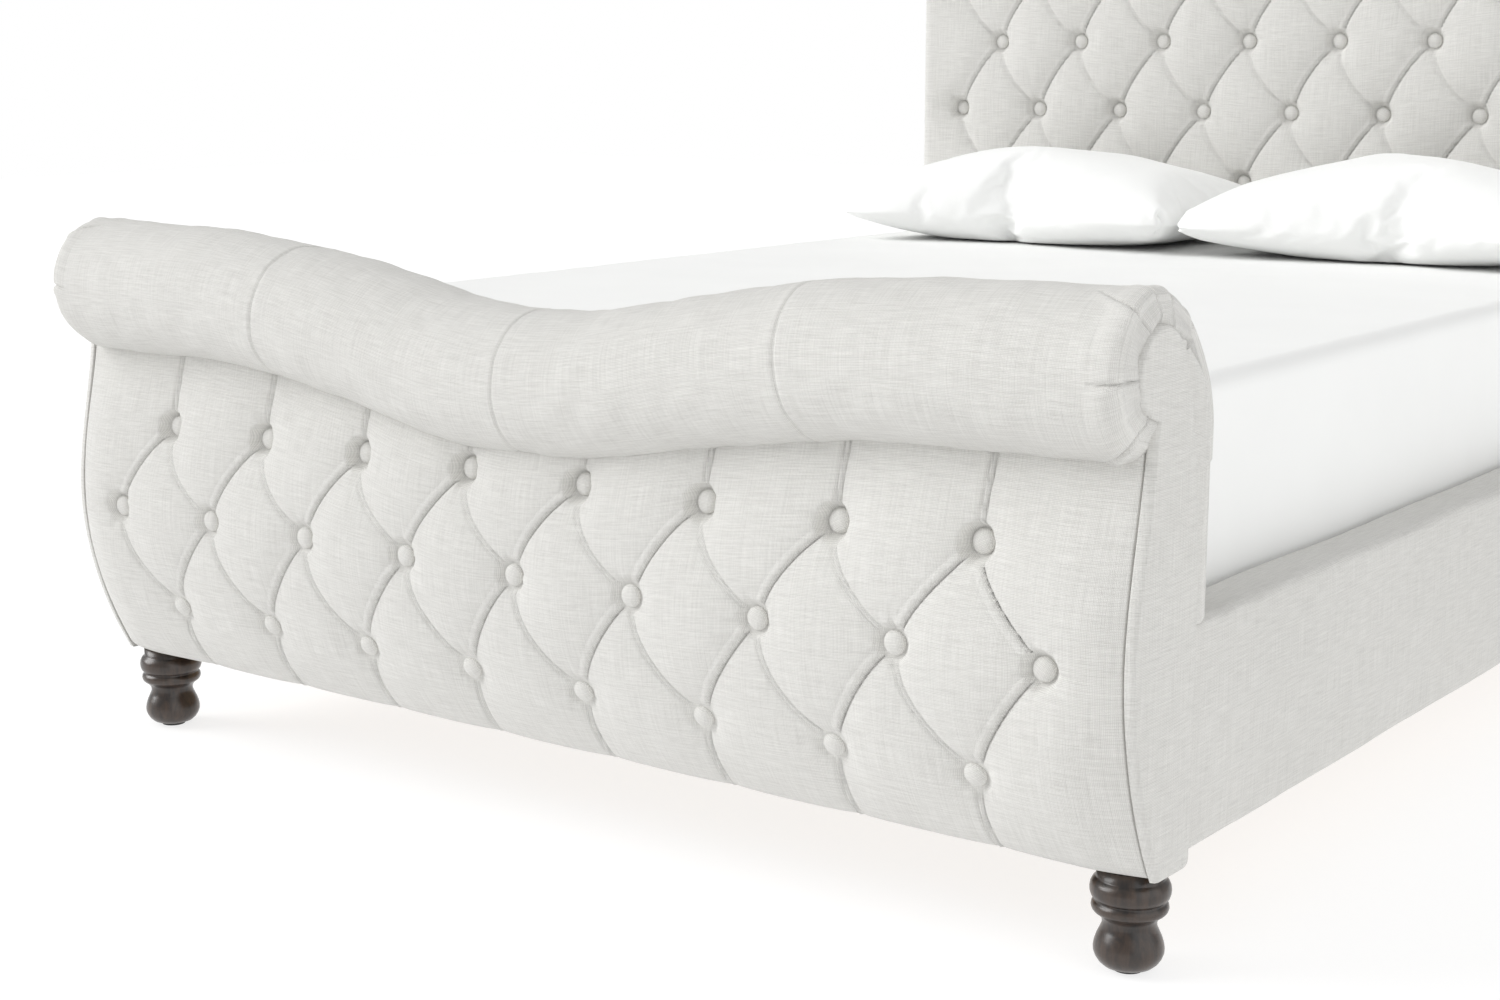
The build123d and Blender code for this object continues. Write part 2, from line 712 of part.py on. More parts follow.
def make_bedding():
    """Mattress, fitted sheet and two pillows."""
    def pad(extra, z0, z1):
        solid = block(-mattress_width / 2 - extra, mattress_width / 2 + extra,
                      -mattress_length / 2 - extra, mattress_length / 2 + extra, z0, z1)
        solid = fillet(solid.edges().filter_by(Axis.Z), mattress_corner + extra)
        return fillet(solid.faces().sort_by(Axis.Z)[-1].edges(), mattress_edge + extra)

    top = slat_top + mattress_thickness
    mattress = pad(0, slat_top, top)
    save("mattress", mattress)
    save("fitted_sheet", pad(sheet_thickness, slat_top + sheet_lift, top + sheet_thickness)
         - mattress)

    rest = top + sheet_thickness + pillow_rest_gap
    y = well_face - 2 * fit_gap - pillow_depth / 2
    for end, hand in (("left", -1), ("right", 1)):
        pillow = Box(pillow_width, pillow_depth, pillow_height)
        pillow = fillet(pillow.edges().filter_by(Axis.Z), pillow_corner)
        pillow = fillet(pillow.faces().sort_by(Axis.Z)[-1].edges(), pillow_edge)
        pillow = fillet(pillow.faces().sort_by(Axis.Z)[0].edges(), pillow_edge)
        save(f"pillow_{end}", Pos(hand * (pillow_width + pillow_gap) / 2, y,
                                  rest + pillow_height / 2) * pillow)


# ---------------------------------------------------------------- build

make_end_board("footboard", FOOT, footboard_roll_height, foot_board_line, foot_seam_line,
               foot_rows, True, foot_sticks)
make_end_board("headboard", HEAD, headboard_roll_height, head_board_line, head_seam_line,
               head_rows, False, head_sticks)

bolts, plates, glides = [], [], []
for side, end in ((FOOT, "front"), (HEAD, "rear")):
    for hand, way in ((-1, "left"), (1, "right")):
        place = foot_place(side, hand)
        save(f"foot_{end}_{way}", place * turned_foot())
        bolts.append(place * foot_bolt())
        plates.append(place * (foot_plate() - foot_bolt()))
        glides.append(place * Pos(0, 0, glide_height / 2) * Cylinder(
            glide_diameter / 2, glide_height))
save("foot_bolts", bolts)
save("foot_plates", plates)
save("foot_glides", glides)

make_rails()
make_base()
make_bedding()
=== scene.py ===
from math import atan, cos, pi, radians, sin, sqrt

import bmesh
import bpy
import numpy as np
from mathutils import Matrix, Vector


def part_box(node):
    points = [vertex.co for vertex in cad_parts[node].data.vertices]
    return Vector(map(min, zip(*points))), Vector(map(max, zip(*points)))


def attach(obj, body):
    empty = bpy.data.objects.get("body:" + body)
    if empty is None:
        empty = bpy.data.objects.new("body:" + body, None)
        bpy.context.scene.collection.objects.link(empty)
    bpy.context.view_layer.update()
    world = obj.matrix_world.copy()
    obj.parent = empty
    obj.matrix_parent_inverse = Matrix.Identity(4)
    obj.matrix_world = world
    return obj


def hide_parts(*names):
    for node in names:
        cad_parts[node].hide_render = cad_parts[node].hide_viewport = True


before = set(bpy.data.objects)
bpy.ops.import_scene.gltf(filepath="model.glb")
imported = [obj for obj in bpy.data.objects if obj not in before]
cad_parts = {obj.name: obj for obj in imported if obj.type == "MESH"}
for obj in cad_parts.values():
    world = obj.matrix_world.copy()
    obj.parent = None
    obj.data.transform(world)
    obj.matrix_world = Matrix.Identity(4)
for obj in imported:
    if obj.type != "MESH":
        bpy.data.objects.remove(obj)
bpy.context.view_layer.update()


# ---------------------------------------------------------------- camera, floor and light
# A plain pale studio. The bed is seen from its front right corner at about seat height.
# Broad soft light comes from the left and the right, and the white room fills the rest.

camera_place = (1.9447, -3.3508, 1.0075)
camera_tilt = radians(79.08)
camera_turn = radians(36.74)
camera_lens = 55.97
camera_sensor = 36.0
floor_half = 14.0
floor_grey = (0.28, 0.28, 0.28, 1)
floor_glow = 0.78
room_light = 0.50


def put(name, data):
    """A new object in the scene."""
    thing = bpy.data.objects.new(name, data)
    bpy.context.scene.collection.objects.link(thing)
    return thing


def feed(node, inputs):
    """Give a node its inputs: plain values, outputs of other nodes, or nodes, for their first output."""
    for name, value in inputs.items():
        if isinstance(value, bpy.types.Node):
            value = next(out for out in value.outputs if out.enabled)
        if isinstance(value, bpy.types.NodeSocket):
            node.id_data.links.new(value, node.inputs[name])
        else:
            node.inputs[name].default_value = value


def adder(tree):
    """A short way to add nodes to a tree."""
    def add(kind, inputs=None, **settings):
        node = tree.nodes.new(kind)
        for key, value in settings.items():
            setattr(node, key, value)
        feed(node, inputs or {})
        return node
    return add


camera = put("camera", bpy.data.cameras.new("camera"))
camera.location = camera_place
camera.rotation_euler = (camera_tilt, 0, camera_turn)
camera.data.lens = camera_lens
camera.data.sensor_width = camera_sensor
bpy.context.scene.camera = camera
bpy.context.scene.view_settings.view_transform = "Standard"

floor_mesh = bpy.data.meshes.new("studio_floor")
floor_corners = ((-1, -1), (1, -1), (1, 1), (-1, 1))
floor_mesh.from_pydata([(x * floor_half, y * floor_half, 0) for x, y in floor_corners], [], [(0, 1, 2, 3)])
floor = put("studio_floor", floor_mesh)
floor_paint = bpy.data.materials.new("studio_floor")
floor_paint.use_nodes = True
feed(floor_paint.node_tree.nodes["Principled BSDF"],
     {"Base Color": floor_grey, "Roughness": 0.9, "Emission Color": (1, 1, 1, 1),
      "Emission Strength": floor_glow})
floor_mesh.materials.append(floor_paint)

room = bpy.data.worlds.new("studio")
room.use_nodes = True
add = adder(room.node_tree)
seen = add("ShaderNodeLightPath").outputs["Is Camera Ray"]
brighter = add("ShaderNodeMapRange", {"Value": seen, "To Min": room_light, "To Max": 1})
feed(room.node_tree.nodes["Background"], {"Color": (1, 1, 1, 1), "Strength": brighter})
bpy.context.scene.world = room


def far_light(name, place, strength, spread):
    """A very broad soft light so far off that it is even over the whole bed."""
    lamp = bpy.data.lights.new(name, "SUN")
    lamp.energy = strength
    lamp.angle = radians(spread)
    bank = put(name, lamp)
    bank.location = place
    bank.rotation_euler = Vector(place).to_track_quat("Z", "Y").to_euler()


far_light("key_bank", (-4.6, -2.9, 3.2), 2.12, 38)
far_light("fill_bank", (4.8, -0.6, 1.6), 1.08, 80)


# ---------------------------------------------------------------- timber inside the bed
# Plywood end frames, ribs and curved boards, sawn softwood posts, cross rails, beam and
# ledgers. They are glued and screwed, and all but the base is covered by the upholstery.

plywood_tones = (0.42, 0.27, 0.14), (0.62, 0.45, 0.27)
pine_tones = (0.45, 0.27, 0.12), (0.66, 0.47, 0.27)
birch_tones = (0.56, 0.40, 0.23), (0.72, 0.56, 0.37)
grain_stretch = 14


class Finish:
    """A material being built, with short ways to add the nodes that are used most."""

    def __init__(self, name):
        self.material = bpy.data.materials.new(name)
        self.material.use_nodes = True
        self.shader = self.material.node_tree.nodes["Principled BSDF"]
        self.add = adder(self.material.node_tree)

    def place(self):
        return self.add("ShaderNodeTexCoord").outputs["Object"]

    def scaled(self, vector, scale):
        return self.add("ShaderNodeMapping", {"Vector": vector, "Scale": scale})

    def noise(self, vector, scale, detail, roughness=0.5, distortion=0.0):
        return self.add("ShaderNodeTexNoise", {"Vector": vector, "Scale": scale, "Detail": detail,
                                               "Roughness": roughness, "Distortion": distortion})

    def mix(self, share, a, b, kind="FLOAT"):
        return self.add("ShaderNodeMix", {"Factor": share, "A": a, "B": b}, data_type=kind)

    def maths(self, operation, *values):
        return self.add("ShaderNodeMath", dict(enumerate(values)), operation=operation)

    def bump(self, height, strength, distance):
        return self.add("ShaderNodeBump", {"Height": height, "Strength": strength, "Distance": distance})

    def colour(self, factor, low, high, start=0.3, end=0.7):
        """A ramp from a low to a high colour over part of a factor."""
        ramp = self.add("ShaderNodeValToRGB", {"Fac": factor})
        for stop, place, tone in zip(ramp.color_ramp.elements, (start, end), (low, high)):
            stop.position = place
            stop.color = (*tone, 1)
        return ramp

    def done(self, **inputs):
        """Feed the shader; an underline in a name stands for a space."""
        feed(self.shader, {key.replace("_", " "): value for key, value in inputs.items()})
        return self.material


def bare_wood(name, tones, along, grain, roughness):
    """Planed wood whose grain runs along one axis of the bed."""
    wood = Finish(name)
    scale = [grain / grain_stretch if axis == along else grain for axis in "XYZ"]
    rings = wood.noise(wood.scaled(wood.place(), scale), 1, 6, 0.6, 0.9)
    return wood.done(Base_Color=wood.colour(rings, *tones, 0.32, 0.6), Roughness=roughness,
                     Normal=wood.bump(rings, 0.25, 0.0006))


def finish_nodes(names, material):
    """Give CAD pieces their real finish."""
    for name in names:
        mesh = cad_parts[name].data
        mesh.materials.clear()
        mesh.materials.append(material)


boards = "footboard", "headboard"
hands = ("left", -1), ("right", 1)
plywood = bare_wood("raw_plywood", plywood_tones, "Z", 55, 0.75)
pine = bare_wood("planed_pine", pine_tones, "Y", 42, 0.62)
pine_across = bare_wood("planed_pine_across", pine_tones, "X", 42, 0.62)
birch = bare_wood("sealed_birch", birch_tones, "X", 60, 0.42)

finish_nodes([f"{board}_{part}" for board in boards for part in (
    "end_frame_left", "end_frame_right", "ribs", "curved_board", "flat_board", "roll_former")], plywood)
finish_nodes([f"{board}_corner_posts" for board in boards], pine)
finish_nodes([f"{board}_cross_rails" for board in boards], pine_across)
finish_nodes(["side_rail_core_left", "side_rail_core_right", "slat_ledgers", "centre_beam",
              "centre_leg_front", "centre_leg_middle", "centre_leg_rear"], pine)
finish_nodes(["slats"], birch)


# ---------------------------------------------------------------- zinc hardware and plastic
# Pressed steel hook plates, brackets, foot plates and hanger bolts in bright zinc, with
# black moulded glides and levellers, black non-woven dust covers and waxed button twine.

zinc_tones = (0.48, 0.50, 0.53), (0.60, 0.61, 0.62)
plastic_tones = (0.018, 0.018, 0.019), (0.03, 0.03, 0.03)
nonwoven_tones = (0.012, 0.012, 0.013), (0.035, 0.035, 0.036)
twine_tones = (0.45, 0.37, 0.25), (0.62, 0.54, 0.40)


def speckled(name, tones, scale, roughness, metallic=0.0, rise=0.0002):
    """A plain finish with fine mottling in its colour and surface."""
    plain = Finish(name)
    mottle = plain.noise(plain.place(), scale, 4)
    return plain.done(Base_Color=plain.colour(mottle, *tones), Normal=plain.bump(mottle, 0.3, rise),
                      Roughness=roughness, Metallic=metallic)


zinc = speckled("bright_zinc", zinc_tones, 90, 0.32, metallic=1.0)
black_plastic = speckled("black_plastic", plastic_tones, 700, 0.55)
dust_cloth = speckled("black_nonwoven", nonwoven_tones, 900, 0.95, rise=0.0005)
twine = speckled("waxed_twine", twine_tones, 800, 0.7)

finish_nodes(["foot_bolts", "foot_plates", "beam_brackets", "rail_hook_plates",
              "rail_receiver_plates"], zinc)
finish_nodes(["foot_glides", "leveller_front", "leveller_middle", "leveller_rear"], black_plastic)
finish_nodes([f"{board}_dust_cover" for board in boards], dust_cloth)
finish_nodes([f"{board}_button_ties" for board in boards], twine)


# ---------------------------------------------------------------- turned feet
# Four beech feet, each turned in one piece with a collar, two beads, a waist and a ball,
# stained dark walnut and lacquered satin, and rubbed a little paler on the beads.

walnut_tones = (0.010, 0.007, 0.006), (0.050, 0.030, 0.020)
walnut_rubbed = (0.13, 0.085, 0.058, 1)

stain = Finish("dark_walnut")
place = stain.place()
grain = stain.noise(stain.scaled(place, (95, 95, 16)), 1, 8, 0.65, 0.5)
blotches = stain.noise(place, 70, 3, 0.6)
worn = stain.add("ShaderNodeMapRange", {"Value": stain.add("ShaderNodeNewGeometry").outputs["Pointiness"],
                                        "From Min": 0.50, "From Max": 0.60, "To Min": 0.0, "To Max": 0.8})
lacquer = stain.add("ShaderNodeMapRange", {"Value": blotches, "To Min": 0.24, "To Max": 0.46})
stained = stain.colour(grain, *walnut_tones, 0.38, 0.68)
walnut = stain.done(
    Base_Color=stain.mix(stain.maths("MULTIPLY", worn, blotches), stained, walnut_rubbed, "RGBA"),
    Roughness=lacquer, Normal=stain.bump(grain, 0.2, 0.0004), Coat_Weight=0.35, Coat_Roughness=0.22)

# the turning follows a cutter's line: radius at each height, ring by ring
foot_cut = [(0.022, 0.004), (0.029, 0.0065), (0.034, 0.011), (0.0375, 0.0165), (0.0395, 0.022),
            (0.0398, 0.027), (0.0388, 0.033), (0.0365, 0.040), (0.0333, 0.047), (0.0307, 0.053),
            (0.0306, 0.057), (0.0316, 0.0608), (0.0345, 0.0645), (0.0385, 0.0675), (0.0405, 0.069),
            (0.0424, 0.0714), (0.0434, 0.075), (0.0428, 0.0785), (0.041, 0.081), (0.0396, 0.0825),
            (0.0408, 0.084), (0.0436, 0.0870), (0.0451, 0.0915), (0.0455, 0.096), (0.0447, 0.101),
            (0.0425, 0.1055), (0.0398, 0.1078), (0.0384, 0.1095), (0.0384, 0.1215)]
foot_turns = 96


def lengths_along(points):
    """How far along a line each of its points lies."""
    return np.concatenate([[0], np.cumsum(np.linalg.norm(np.diff(points, axis=0), axis=1))])


def loft(name, rings, material, body, spread=None, cap=True):
    """A closed skin through rings of equal length, with a UV map in metres: along, then around."""
    rings = np.asarray(rings, float)
    count, around = rings.shape[:2]
    index = np.arange(count * around).reshape(count, around)
    low, high = index[:-1], index[1:]
    faces = np.stack([low, np.roll(low, -1, 1), np.roll(high, -1, 1), high], -1).reshape(-1, 4)
    girth = np.concatenate([[0], np.cumsum(np.linalg.norm(np.roll(rings, -1, 1) - rings, axis=2).mean(0))])
    spread = lengths_along(rings.mean(1)) if spread is None else np.asarray(spread)
    uv = np.empty((count - 1, around, 4, 2))
    uv[..., :2, 0] = spread[:-1, None, None]
    uv[..., 2:, 0] = spread[1:, None, None]
    uv[..., (0, 3), 1] = girth[None, :-1, None]
    uv[..., (1, 2), 1] = girth[None, 1:, None]
    uv = uv.reshape(-1, 4, 2)
    points = rings.reshape(-1, 3)
    corners = points[faces]
    normal = np.cross(corners[:, 2] - corners[:, 0], corners[:, 3] - corners[:, 1])
    ends = [index[0][::-1], index[-1]] if cap else []
    if ((corners.mean(1) - points.mean(0)) * normal).sum() < 0:
        faces, uv, ends = faces[:, ::-1], uv[:, ::-1], [end[::-1] for end in ends]
    mesh = bpy.data.meshes.new(name)
    mesh.from_pydata(points.tolist(), [], faces.tolist() + [end.tolist() for end in ends])
    mesh.polygons.foreach_set("use_smooth", np.arange(len(mesh.polygons)) < len(faces))
    uv = np.concatenate([uv.ravel()] + [points[end][:, 1:].ravel() for end in ends])
    mesh.uv_layers.new(name="cloth").data.foreach_set("uv", uv)
    mesh.materials.append(material)
    piece = put(name, mesh)
    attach(piece, body)
    return piece


for end in ("front", "rear"):
    for hand, _ in hands:
        low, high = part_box(f"foot_{end}_{hand}")
        middle = (low + high) / 2
        turns = [2 * pi * k / foot_turns for k in range(foot_turns)]
        rings = [[(middle.x + r * cos(a), middle.y + r * sin(a), z) for a in turns] for r, z in foot_cut]
        foot = loft(f"turned_foot_{end}_{hand}", rings, walnut, "bedstead")
        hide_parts(f"foot_{end}_{hand}")


# ---------------------------------------------------------------- linen cover cloth
# Pale warm grey linen in a plain weave with slubs, the one cloth of the whole bed. It has
# threads 1.7 mm apart, and thicker ones that run the width of the bed.

linen_tones = (0.555, 0.546, 0.518), (0.925, 0.918, 0.888)
thread_pitch = 0.0017
slub_length = 0.045
slub_width = 0.0022
bands_per_metre = 0.314 / thread_pitch

cloth = Finish("linen_cover")
laid = cloth.add("ShaderNodeUVMap", uv_map="cloth")
slubs = cloth.noise(cloth.scaled(laid, (1 / slub_length, 1 / slub_width, 1)), 1, 3, 0.7)
warps = cloth.noise(cloth.scaled(laid, (1 / slub_width, 0.6 / slub_length, 1)), 1, 2, 0.6)
threads = cloth.mix(0.36, slubs, warps)
weave = cloth.maths("MULTIPLY", *[cloth.add(
    "ShaderNodeTexWave", {"Vector": laid, "Scale": bands_per_metre, "Distortion": 0.4},
    wave_type="BANDS", bands_direction=way).outputs["Fac"] for way in "XY"])
faded = cloth.mix(0.12, threads, cloth.noise(cloth.place(), 3.2, 2))
woven = cloth.maths("MULTIPLY_ADD", weave, 0.42, faded)
linen = cloth.done(
    Base_Color=cloth.colour(woven, *linen_tones, 0.28, 0.90),
    Normal=cloth.bump(cloth.maths("MULTIPLY_ADD", weave, 0.5, threads), 0.9, 0.0012),
    Roughness=0.93, Specular_IOR_Level=0.22, Sheen_Weight=0.22, Sheen_Roughness=0.45)


# ---------------------------------------------------------------- side rails
# Each rail is a softwood core with foam on its face and top, and linen drawn over the top
# and stapled underneath. The cloth ends are tucked in where the rail hooks to the boards.

rail_foam_edge = 0.013
rail_crown = 0.0035
rail_crown_half = 0.15
rail_stations = 190
core_gap = 0.0004


def unit(value):
    """A value held between 0 and 1."""
    return np.clip(value, 0, 1)


def ridge(s, at, width, power=2):
    """A smooth ridge of height 1 across s."""
    return np.exp(-np.abs((s - at) / width) ** power)


def turned(near, power=2.0):
    """Share by which a rounded edge has fallen away, from 0 where it starts to 1 at the edge."""
    return 1 - np.sqrt(unit(1 - near**power))


def quarter(count):
    """Shares from 0 to 1 that crowd together towards 1, as round an edge."""
    return np.sin(np.linspace(0, pi / 2, count))


def three_point_curve(a, pull, b, steps):
    """Points of the curve that leaves a towards a pull and reaches b from it."""
    t = np.linspace(0, 1, steps)[:, None]
    return (1 - t) ** 2 * a + 2 * t * (1 - t) * pull + t**2 * b


def eased_corner(corner, start, end, radius):
    """Points of a round of this radius at a corner, between the ways to start and end."""
    corner, start, end = (np.array(p, float) for p in (corner, start, end))
    a, b = ((p - corner) / np.linalg.norm(p - corner) for p in (start, end))
    return three_point_curve(corner + a * radius, corner, corner + b * radius, 7)


def evenly(a, b, gap):
    """The points strictly between a and b, about gap apart."""
    a, b = np.array(a), np.array(b)
    steps = max(1, int(np.linalg.norm(b - a) / gap))
    return [a + (b - a) * k / steps for k in range(1, steps)]


def rounded(corners, radii, gap=0.012):
    """A closed outline with rounded corners and evenly spaced points between them."""
    points = []
    for i, (corner, radius) in enumerate(zip(corners, radii)):
        turn = eased_corner(corner, corners[i - 1], corners[(i + 1) % len(corners)], radius)
        if points:
            points.extend(evenly(points[-1], turn[0], gap))
        points.extend(turn)
    points.extend(evenly(points[-1], points[0], gap))
    return np.array(points)


def unevenness(a, b, size, seed, waves=14, short=0.05, long=0.35):
    """Gentle random hollows and swells over two coordinates in metres."""
    chance = np.random.default_rng(seed)
    total = np.zeros(np.broadcast(a, b).shape)
    for _ in range(waves):
        length = chance.uniform(short, long)
        turn = chance.uniform(0, 2 * pi)
        wave = 2 * pi / length * (a * cos(turn) + b * sin(turn)) + chance.uniform(0, 2 * pi)
        total += np.sin(wave) * length
    return size * total / (long * sqrt(waves / 2))


def linen_cover(name, rings, node, spread=None):
    """A linen cover over foam, in the place of its CAD pad."""
    cover = loft(name, rings, linen, "bedstead", spread=spread)
    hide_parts(node)


for hand, sign in hands:
    low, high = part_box(f"side_rail_pad_{hand}")
    core_low, core_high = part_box(f"side_rail_core_{hand}")
    inner, outer = sorted((abs(low.x), abs(high.x)))
    core_inner, core_outer = sorted((abs(core_low.x), abs(core_high.x)))
    slat_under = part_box("slats")[0].z
    outline = rounded(
        [(outer, low.z), (outer, high.z), (inner, high.z), (inner, slat_under),
         (core_inner - core_gap, slat_under), (core_inner - core_gap, core_high.z + core_gap),
         (core_outer + core_gap, core_high.z + core_gap), (core_outer + core_gap, low.z)],
        [0.006, rail_foam_edge, rail_foam_edge, 0.002, 0.001, 0.001, 0.001, 0.004])
    x, z = outline[:, 0][None], outline[:, 1][None]
    y = np.linspace(low.y, high.y, rail_stations)[:, None] + 0 * x
    swell = rail_crown * unit(1 - ((z - (low.z + high.z) / 2) / rail_crown_half) ** 2) * (x > outer - 0.004)
    x = x + swell + unevenness(y, z, 0.0011, 5 + sign) * (x > core_outer + 0.01)
    z = z + unevenness(y, x, 0.0009, 9 + sign) * (z > high.z - 0.004)
    rings = np.stack([sign * x, y, z], -1)
    linen_cover(f"rail_cover_{hand}", rings, f"side_rail_pad_{hand}")


# ---------------------------------------------------------------- button-tufted footboard front
# Thick foam and linen on the curved board. Twine pulls the cloth down at 25 covered buttons,
# and its fullness is laid in folds from button to button and in pleats to the edges.

front_low, front_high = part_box("footboard_tufted_pad")
pad_half = front_high.x
cover_half = pad_half + 0.0018
front_half = pad_half - 0.0012
seam_gap = 0.0026
underside = front_low.z
well_face = -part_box("footboard_plain_pad")[1].y
roll_radius = 0.092
foot_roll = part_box("footboard_roll_pad")[1].z - roll_radius
crest_dip = 0.076
crest_shoulder = 0.680
crest_valley = 1.050
button_pitch = 0.190
seat_rise = 0.0006
# each row: height, seat's distance from the mattress side, lean of the face, number of buttons
foot_button_rows = [(0.222, 0.1975, -19, 8), (0.361, 0.2175, 0, 9), (0.483, 0.1885, 11, 8)]
# side views of the foam's crown, the end seam and the board, as height and distance
foot_crown = [(0.120, 0.148), (0.165, 0.184), (0.225, 0.214), (0.362, 0.239), (0.495, 0.2125),
              (0.640, 0.189)]
foot_edge = [(0.120, 0.1435), (0.240, 0.1965), (0.370, 0.218), (0.525, 0.1965), (0.632, 0.181)]
foot_board = [(0.120, 0.131), (0.365, 0.173), (0.640, 0.147)]
# each kind of fold: valley's strength at its ends and what its middle adds, its grooves as
# place, width and depth, and the lip of cloth between them as place, width, height and power
fold_kinds = {
    "pleat": (0.55, 0.10, [(0.0032, 0.0016, 0.0034), (-0.0032, 0.0017, 0.0050)], (0, 0.0026, 0.0030, 2)),
    "pull": (0.30, 0, [(0, 0.0022, 0.0035)], (0, 1, 0, 2)),
    "soft": (0.42, 0.48, [(0.0026, 0.0016, 0.0026), (-0.0026, 0.0016, 0.0030)], (0, 0.0024, 0.0016, 2)),
    "lipped": (0.42, 0.52, [(-0.0004, 0.0013, 0.0062), (0.0112, 0.0014, 0.0009)],
               (0.0054, 0.0050, 0.0017, 6)),
}
fold_reach = 0.11
valley_width = 0.030
hollow_reach = 0.09
hollow_width = 0.034


def line_through(points):
    """A smooth curve through points (z, u), as a function of z."""
    z, u = zip(*points)
    return np.poly1d(np.polyfit(z, u, len(points) - 1))


def crest_drop(x):
    """How far the crest lies below its level ends at x: a shoulder arc and a valley arc."""
    turn = 2 * atan(crest_dip / crest_shoulder)
    shoulder = crest_shoulder / sin(turn) - crest_valley
    x = np.abs(x)
    valley = crest_dip - crest_valley + np.sqrt(np.clip(crest_valley**2 - x**2, 0, None))
    hill = shoulder - np.sqrt(np.clip(shoulder**2 - np.clip(crest_shoulder - x, 0, None) ** 2, 0, None))
    return np.where(x < crest_valley * sin(turn), valley, hill)


def crest_lean(x):
    """The crest's slope at x, as an angle."""
    return np.arctan((crest_drop(x - 0.001) - crest_drop(x + 0.001)) / 0.002)


def bend(start, pull_start, pull_end, end, steps=16):
    """A Bezier curve as points."""
    t = np.linspace(0, 1, steps)[:, None]
    start, pull_start, pull_end, end = (np.array(p, float) for p in (start, pull_start, pull_end, end))
    return ((1 - t) ** 3 * start + 3 * t * (1 - t) ** 2 * pull_start
            + 3 * t**2 * (1 - t) * pull_end + t**3 * end)


def row_buttons(row):
    """The buttons of a row (z, seat, lean, count) from left to right, as (x, z)."""
    z, _, _, count = row
    return [((i - (count - 1) / 2) * button_pitch, z) for i in range(count)]


def fold_between(x0, z0, dx, dz, stray, crisp):
    """The fold from a button at (x0, z0) to the one dx along and dz below it."""
    x1, z1 = x0 + dx, z0 - dz
    if dx < 0:
        return "lipped", bend(
            (x0 - 0.005, z0 - 0.007), (x0 + 0.36 * dx + stray[0], z0 - 0.29 * dz + stray[1]),
            (x1 - 0.29 * dx + stray[2], z1 + 0.40 * dz + stray[3]), (x1 + 0.007, z1 + 0.008))
    if crisp:
        return "lipped", bend((x0, z0), (x0 + 0.20 * dx, z0 - 0.40 * dz),
                              (x1 - 0.36 * dx, z1 + 0.36 * dz), (x1 - 0.004, z1 + 0.006))
    return "soft", bend((x0, z0), (x0 + 0.03 * dx + stray[0], z0 - 0.42 * dz + stray[1]),
                        (x1 - 0.42 * dx + stray[2], z1 + 0.36 * dx + stray[3]), (x1, z1))


def fold_lines(rows, low, high, half):
    """Every fold between buttons and every pleat to an edge: kind, points from top to bottom."""
    chance = np.random.default_rng(31)
    lines = []
    for below, above in zip(rows, rows[1:]):
        for x0, z0 in row_buttons(above):
            for x1, z1 in row_buttons(below):
                if abs(abs(x1 - x0) - button_pitch / 2) > 0.01:
                    continue
                stray = chance.uniform(-0.004, 0.004, 4)
                crisp = x1 > half - button_pitch and z1 == rows[1][0]
                lines.append(fold_between(x0, z0, x1 - x0, z0 - z1, stray, crisp))
    for x0, z0 in row_buttons(rows[-1]):
        reach = high(x0) - z0
        lean = 0.007 + chance.uniform(-0.003, 0.004)
        lines.append(("pleat", bend((x0 + lean, z0 + reach), (x0 + lean * 0.8, z0 + 0.6 * reach),
                                    (x0 + 0.2 * lean, z0 + 0.3 * reach), (x0, z0))))
    for x0, z0 in row_buttons(rows[0]):
        reach = z0 - low
        lean = 0.003 + chance.uniform(-0.003, 0.004)
        lines.append(("pleat", bend((x0, z0), (x0, z0 - 0.4 * reach), (x0 + 0.5 * lean, z0 - 0.7 * reach),
                                    (x0 + lean, low))))
    for row in rows:
        for x0, z0 in row_buttons(row):
            if half - abs(x0) < button_pitch / 2 + 0.01:
                way = 1 if x0 > 0 else -1
                lines.append(("pull", bend((x0, z0), (x0 + way * 0.02, z0), (x0 + way * 0.05, z0 - 0.003),
                                           (way * (half + 0.01), z0 - 0.004))))
    return lines


def beside(x, z, line):
    """Distance from each point to a line, which side of it is, and how far along the nearest place is."""
    along = lengths_along(line)
    best = np.full(x.shape, 9.0)
    sign = np.zeros(x.shape)
    share = np.zeros(x.shape)
    for start, way, before, after in zip(line, np.diff(line, axis=0), along, along[1:]):
        length = after - before
        t = unit(((x - start[0]) * way[0] + (z - start[1]) * way[1]) / length**2)
        dx, dz = x - start[0] - t * way[0], z - start[1] - t * way[1]
        d = np.hypot(dx, dz)
        near = d < best
        best = np.where(near, d, best)
        sign = np.where(near, np.sign(way[1] * dx - way[0] * dz), sign)
        share = np.where(near, (before + t * length) / along[-1], share)
    return best, sign, share


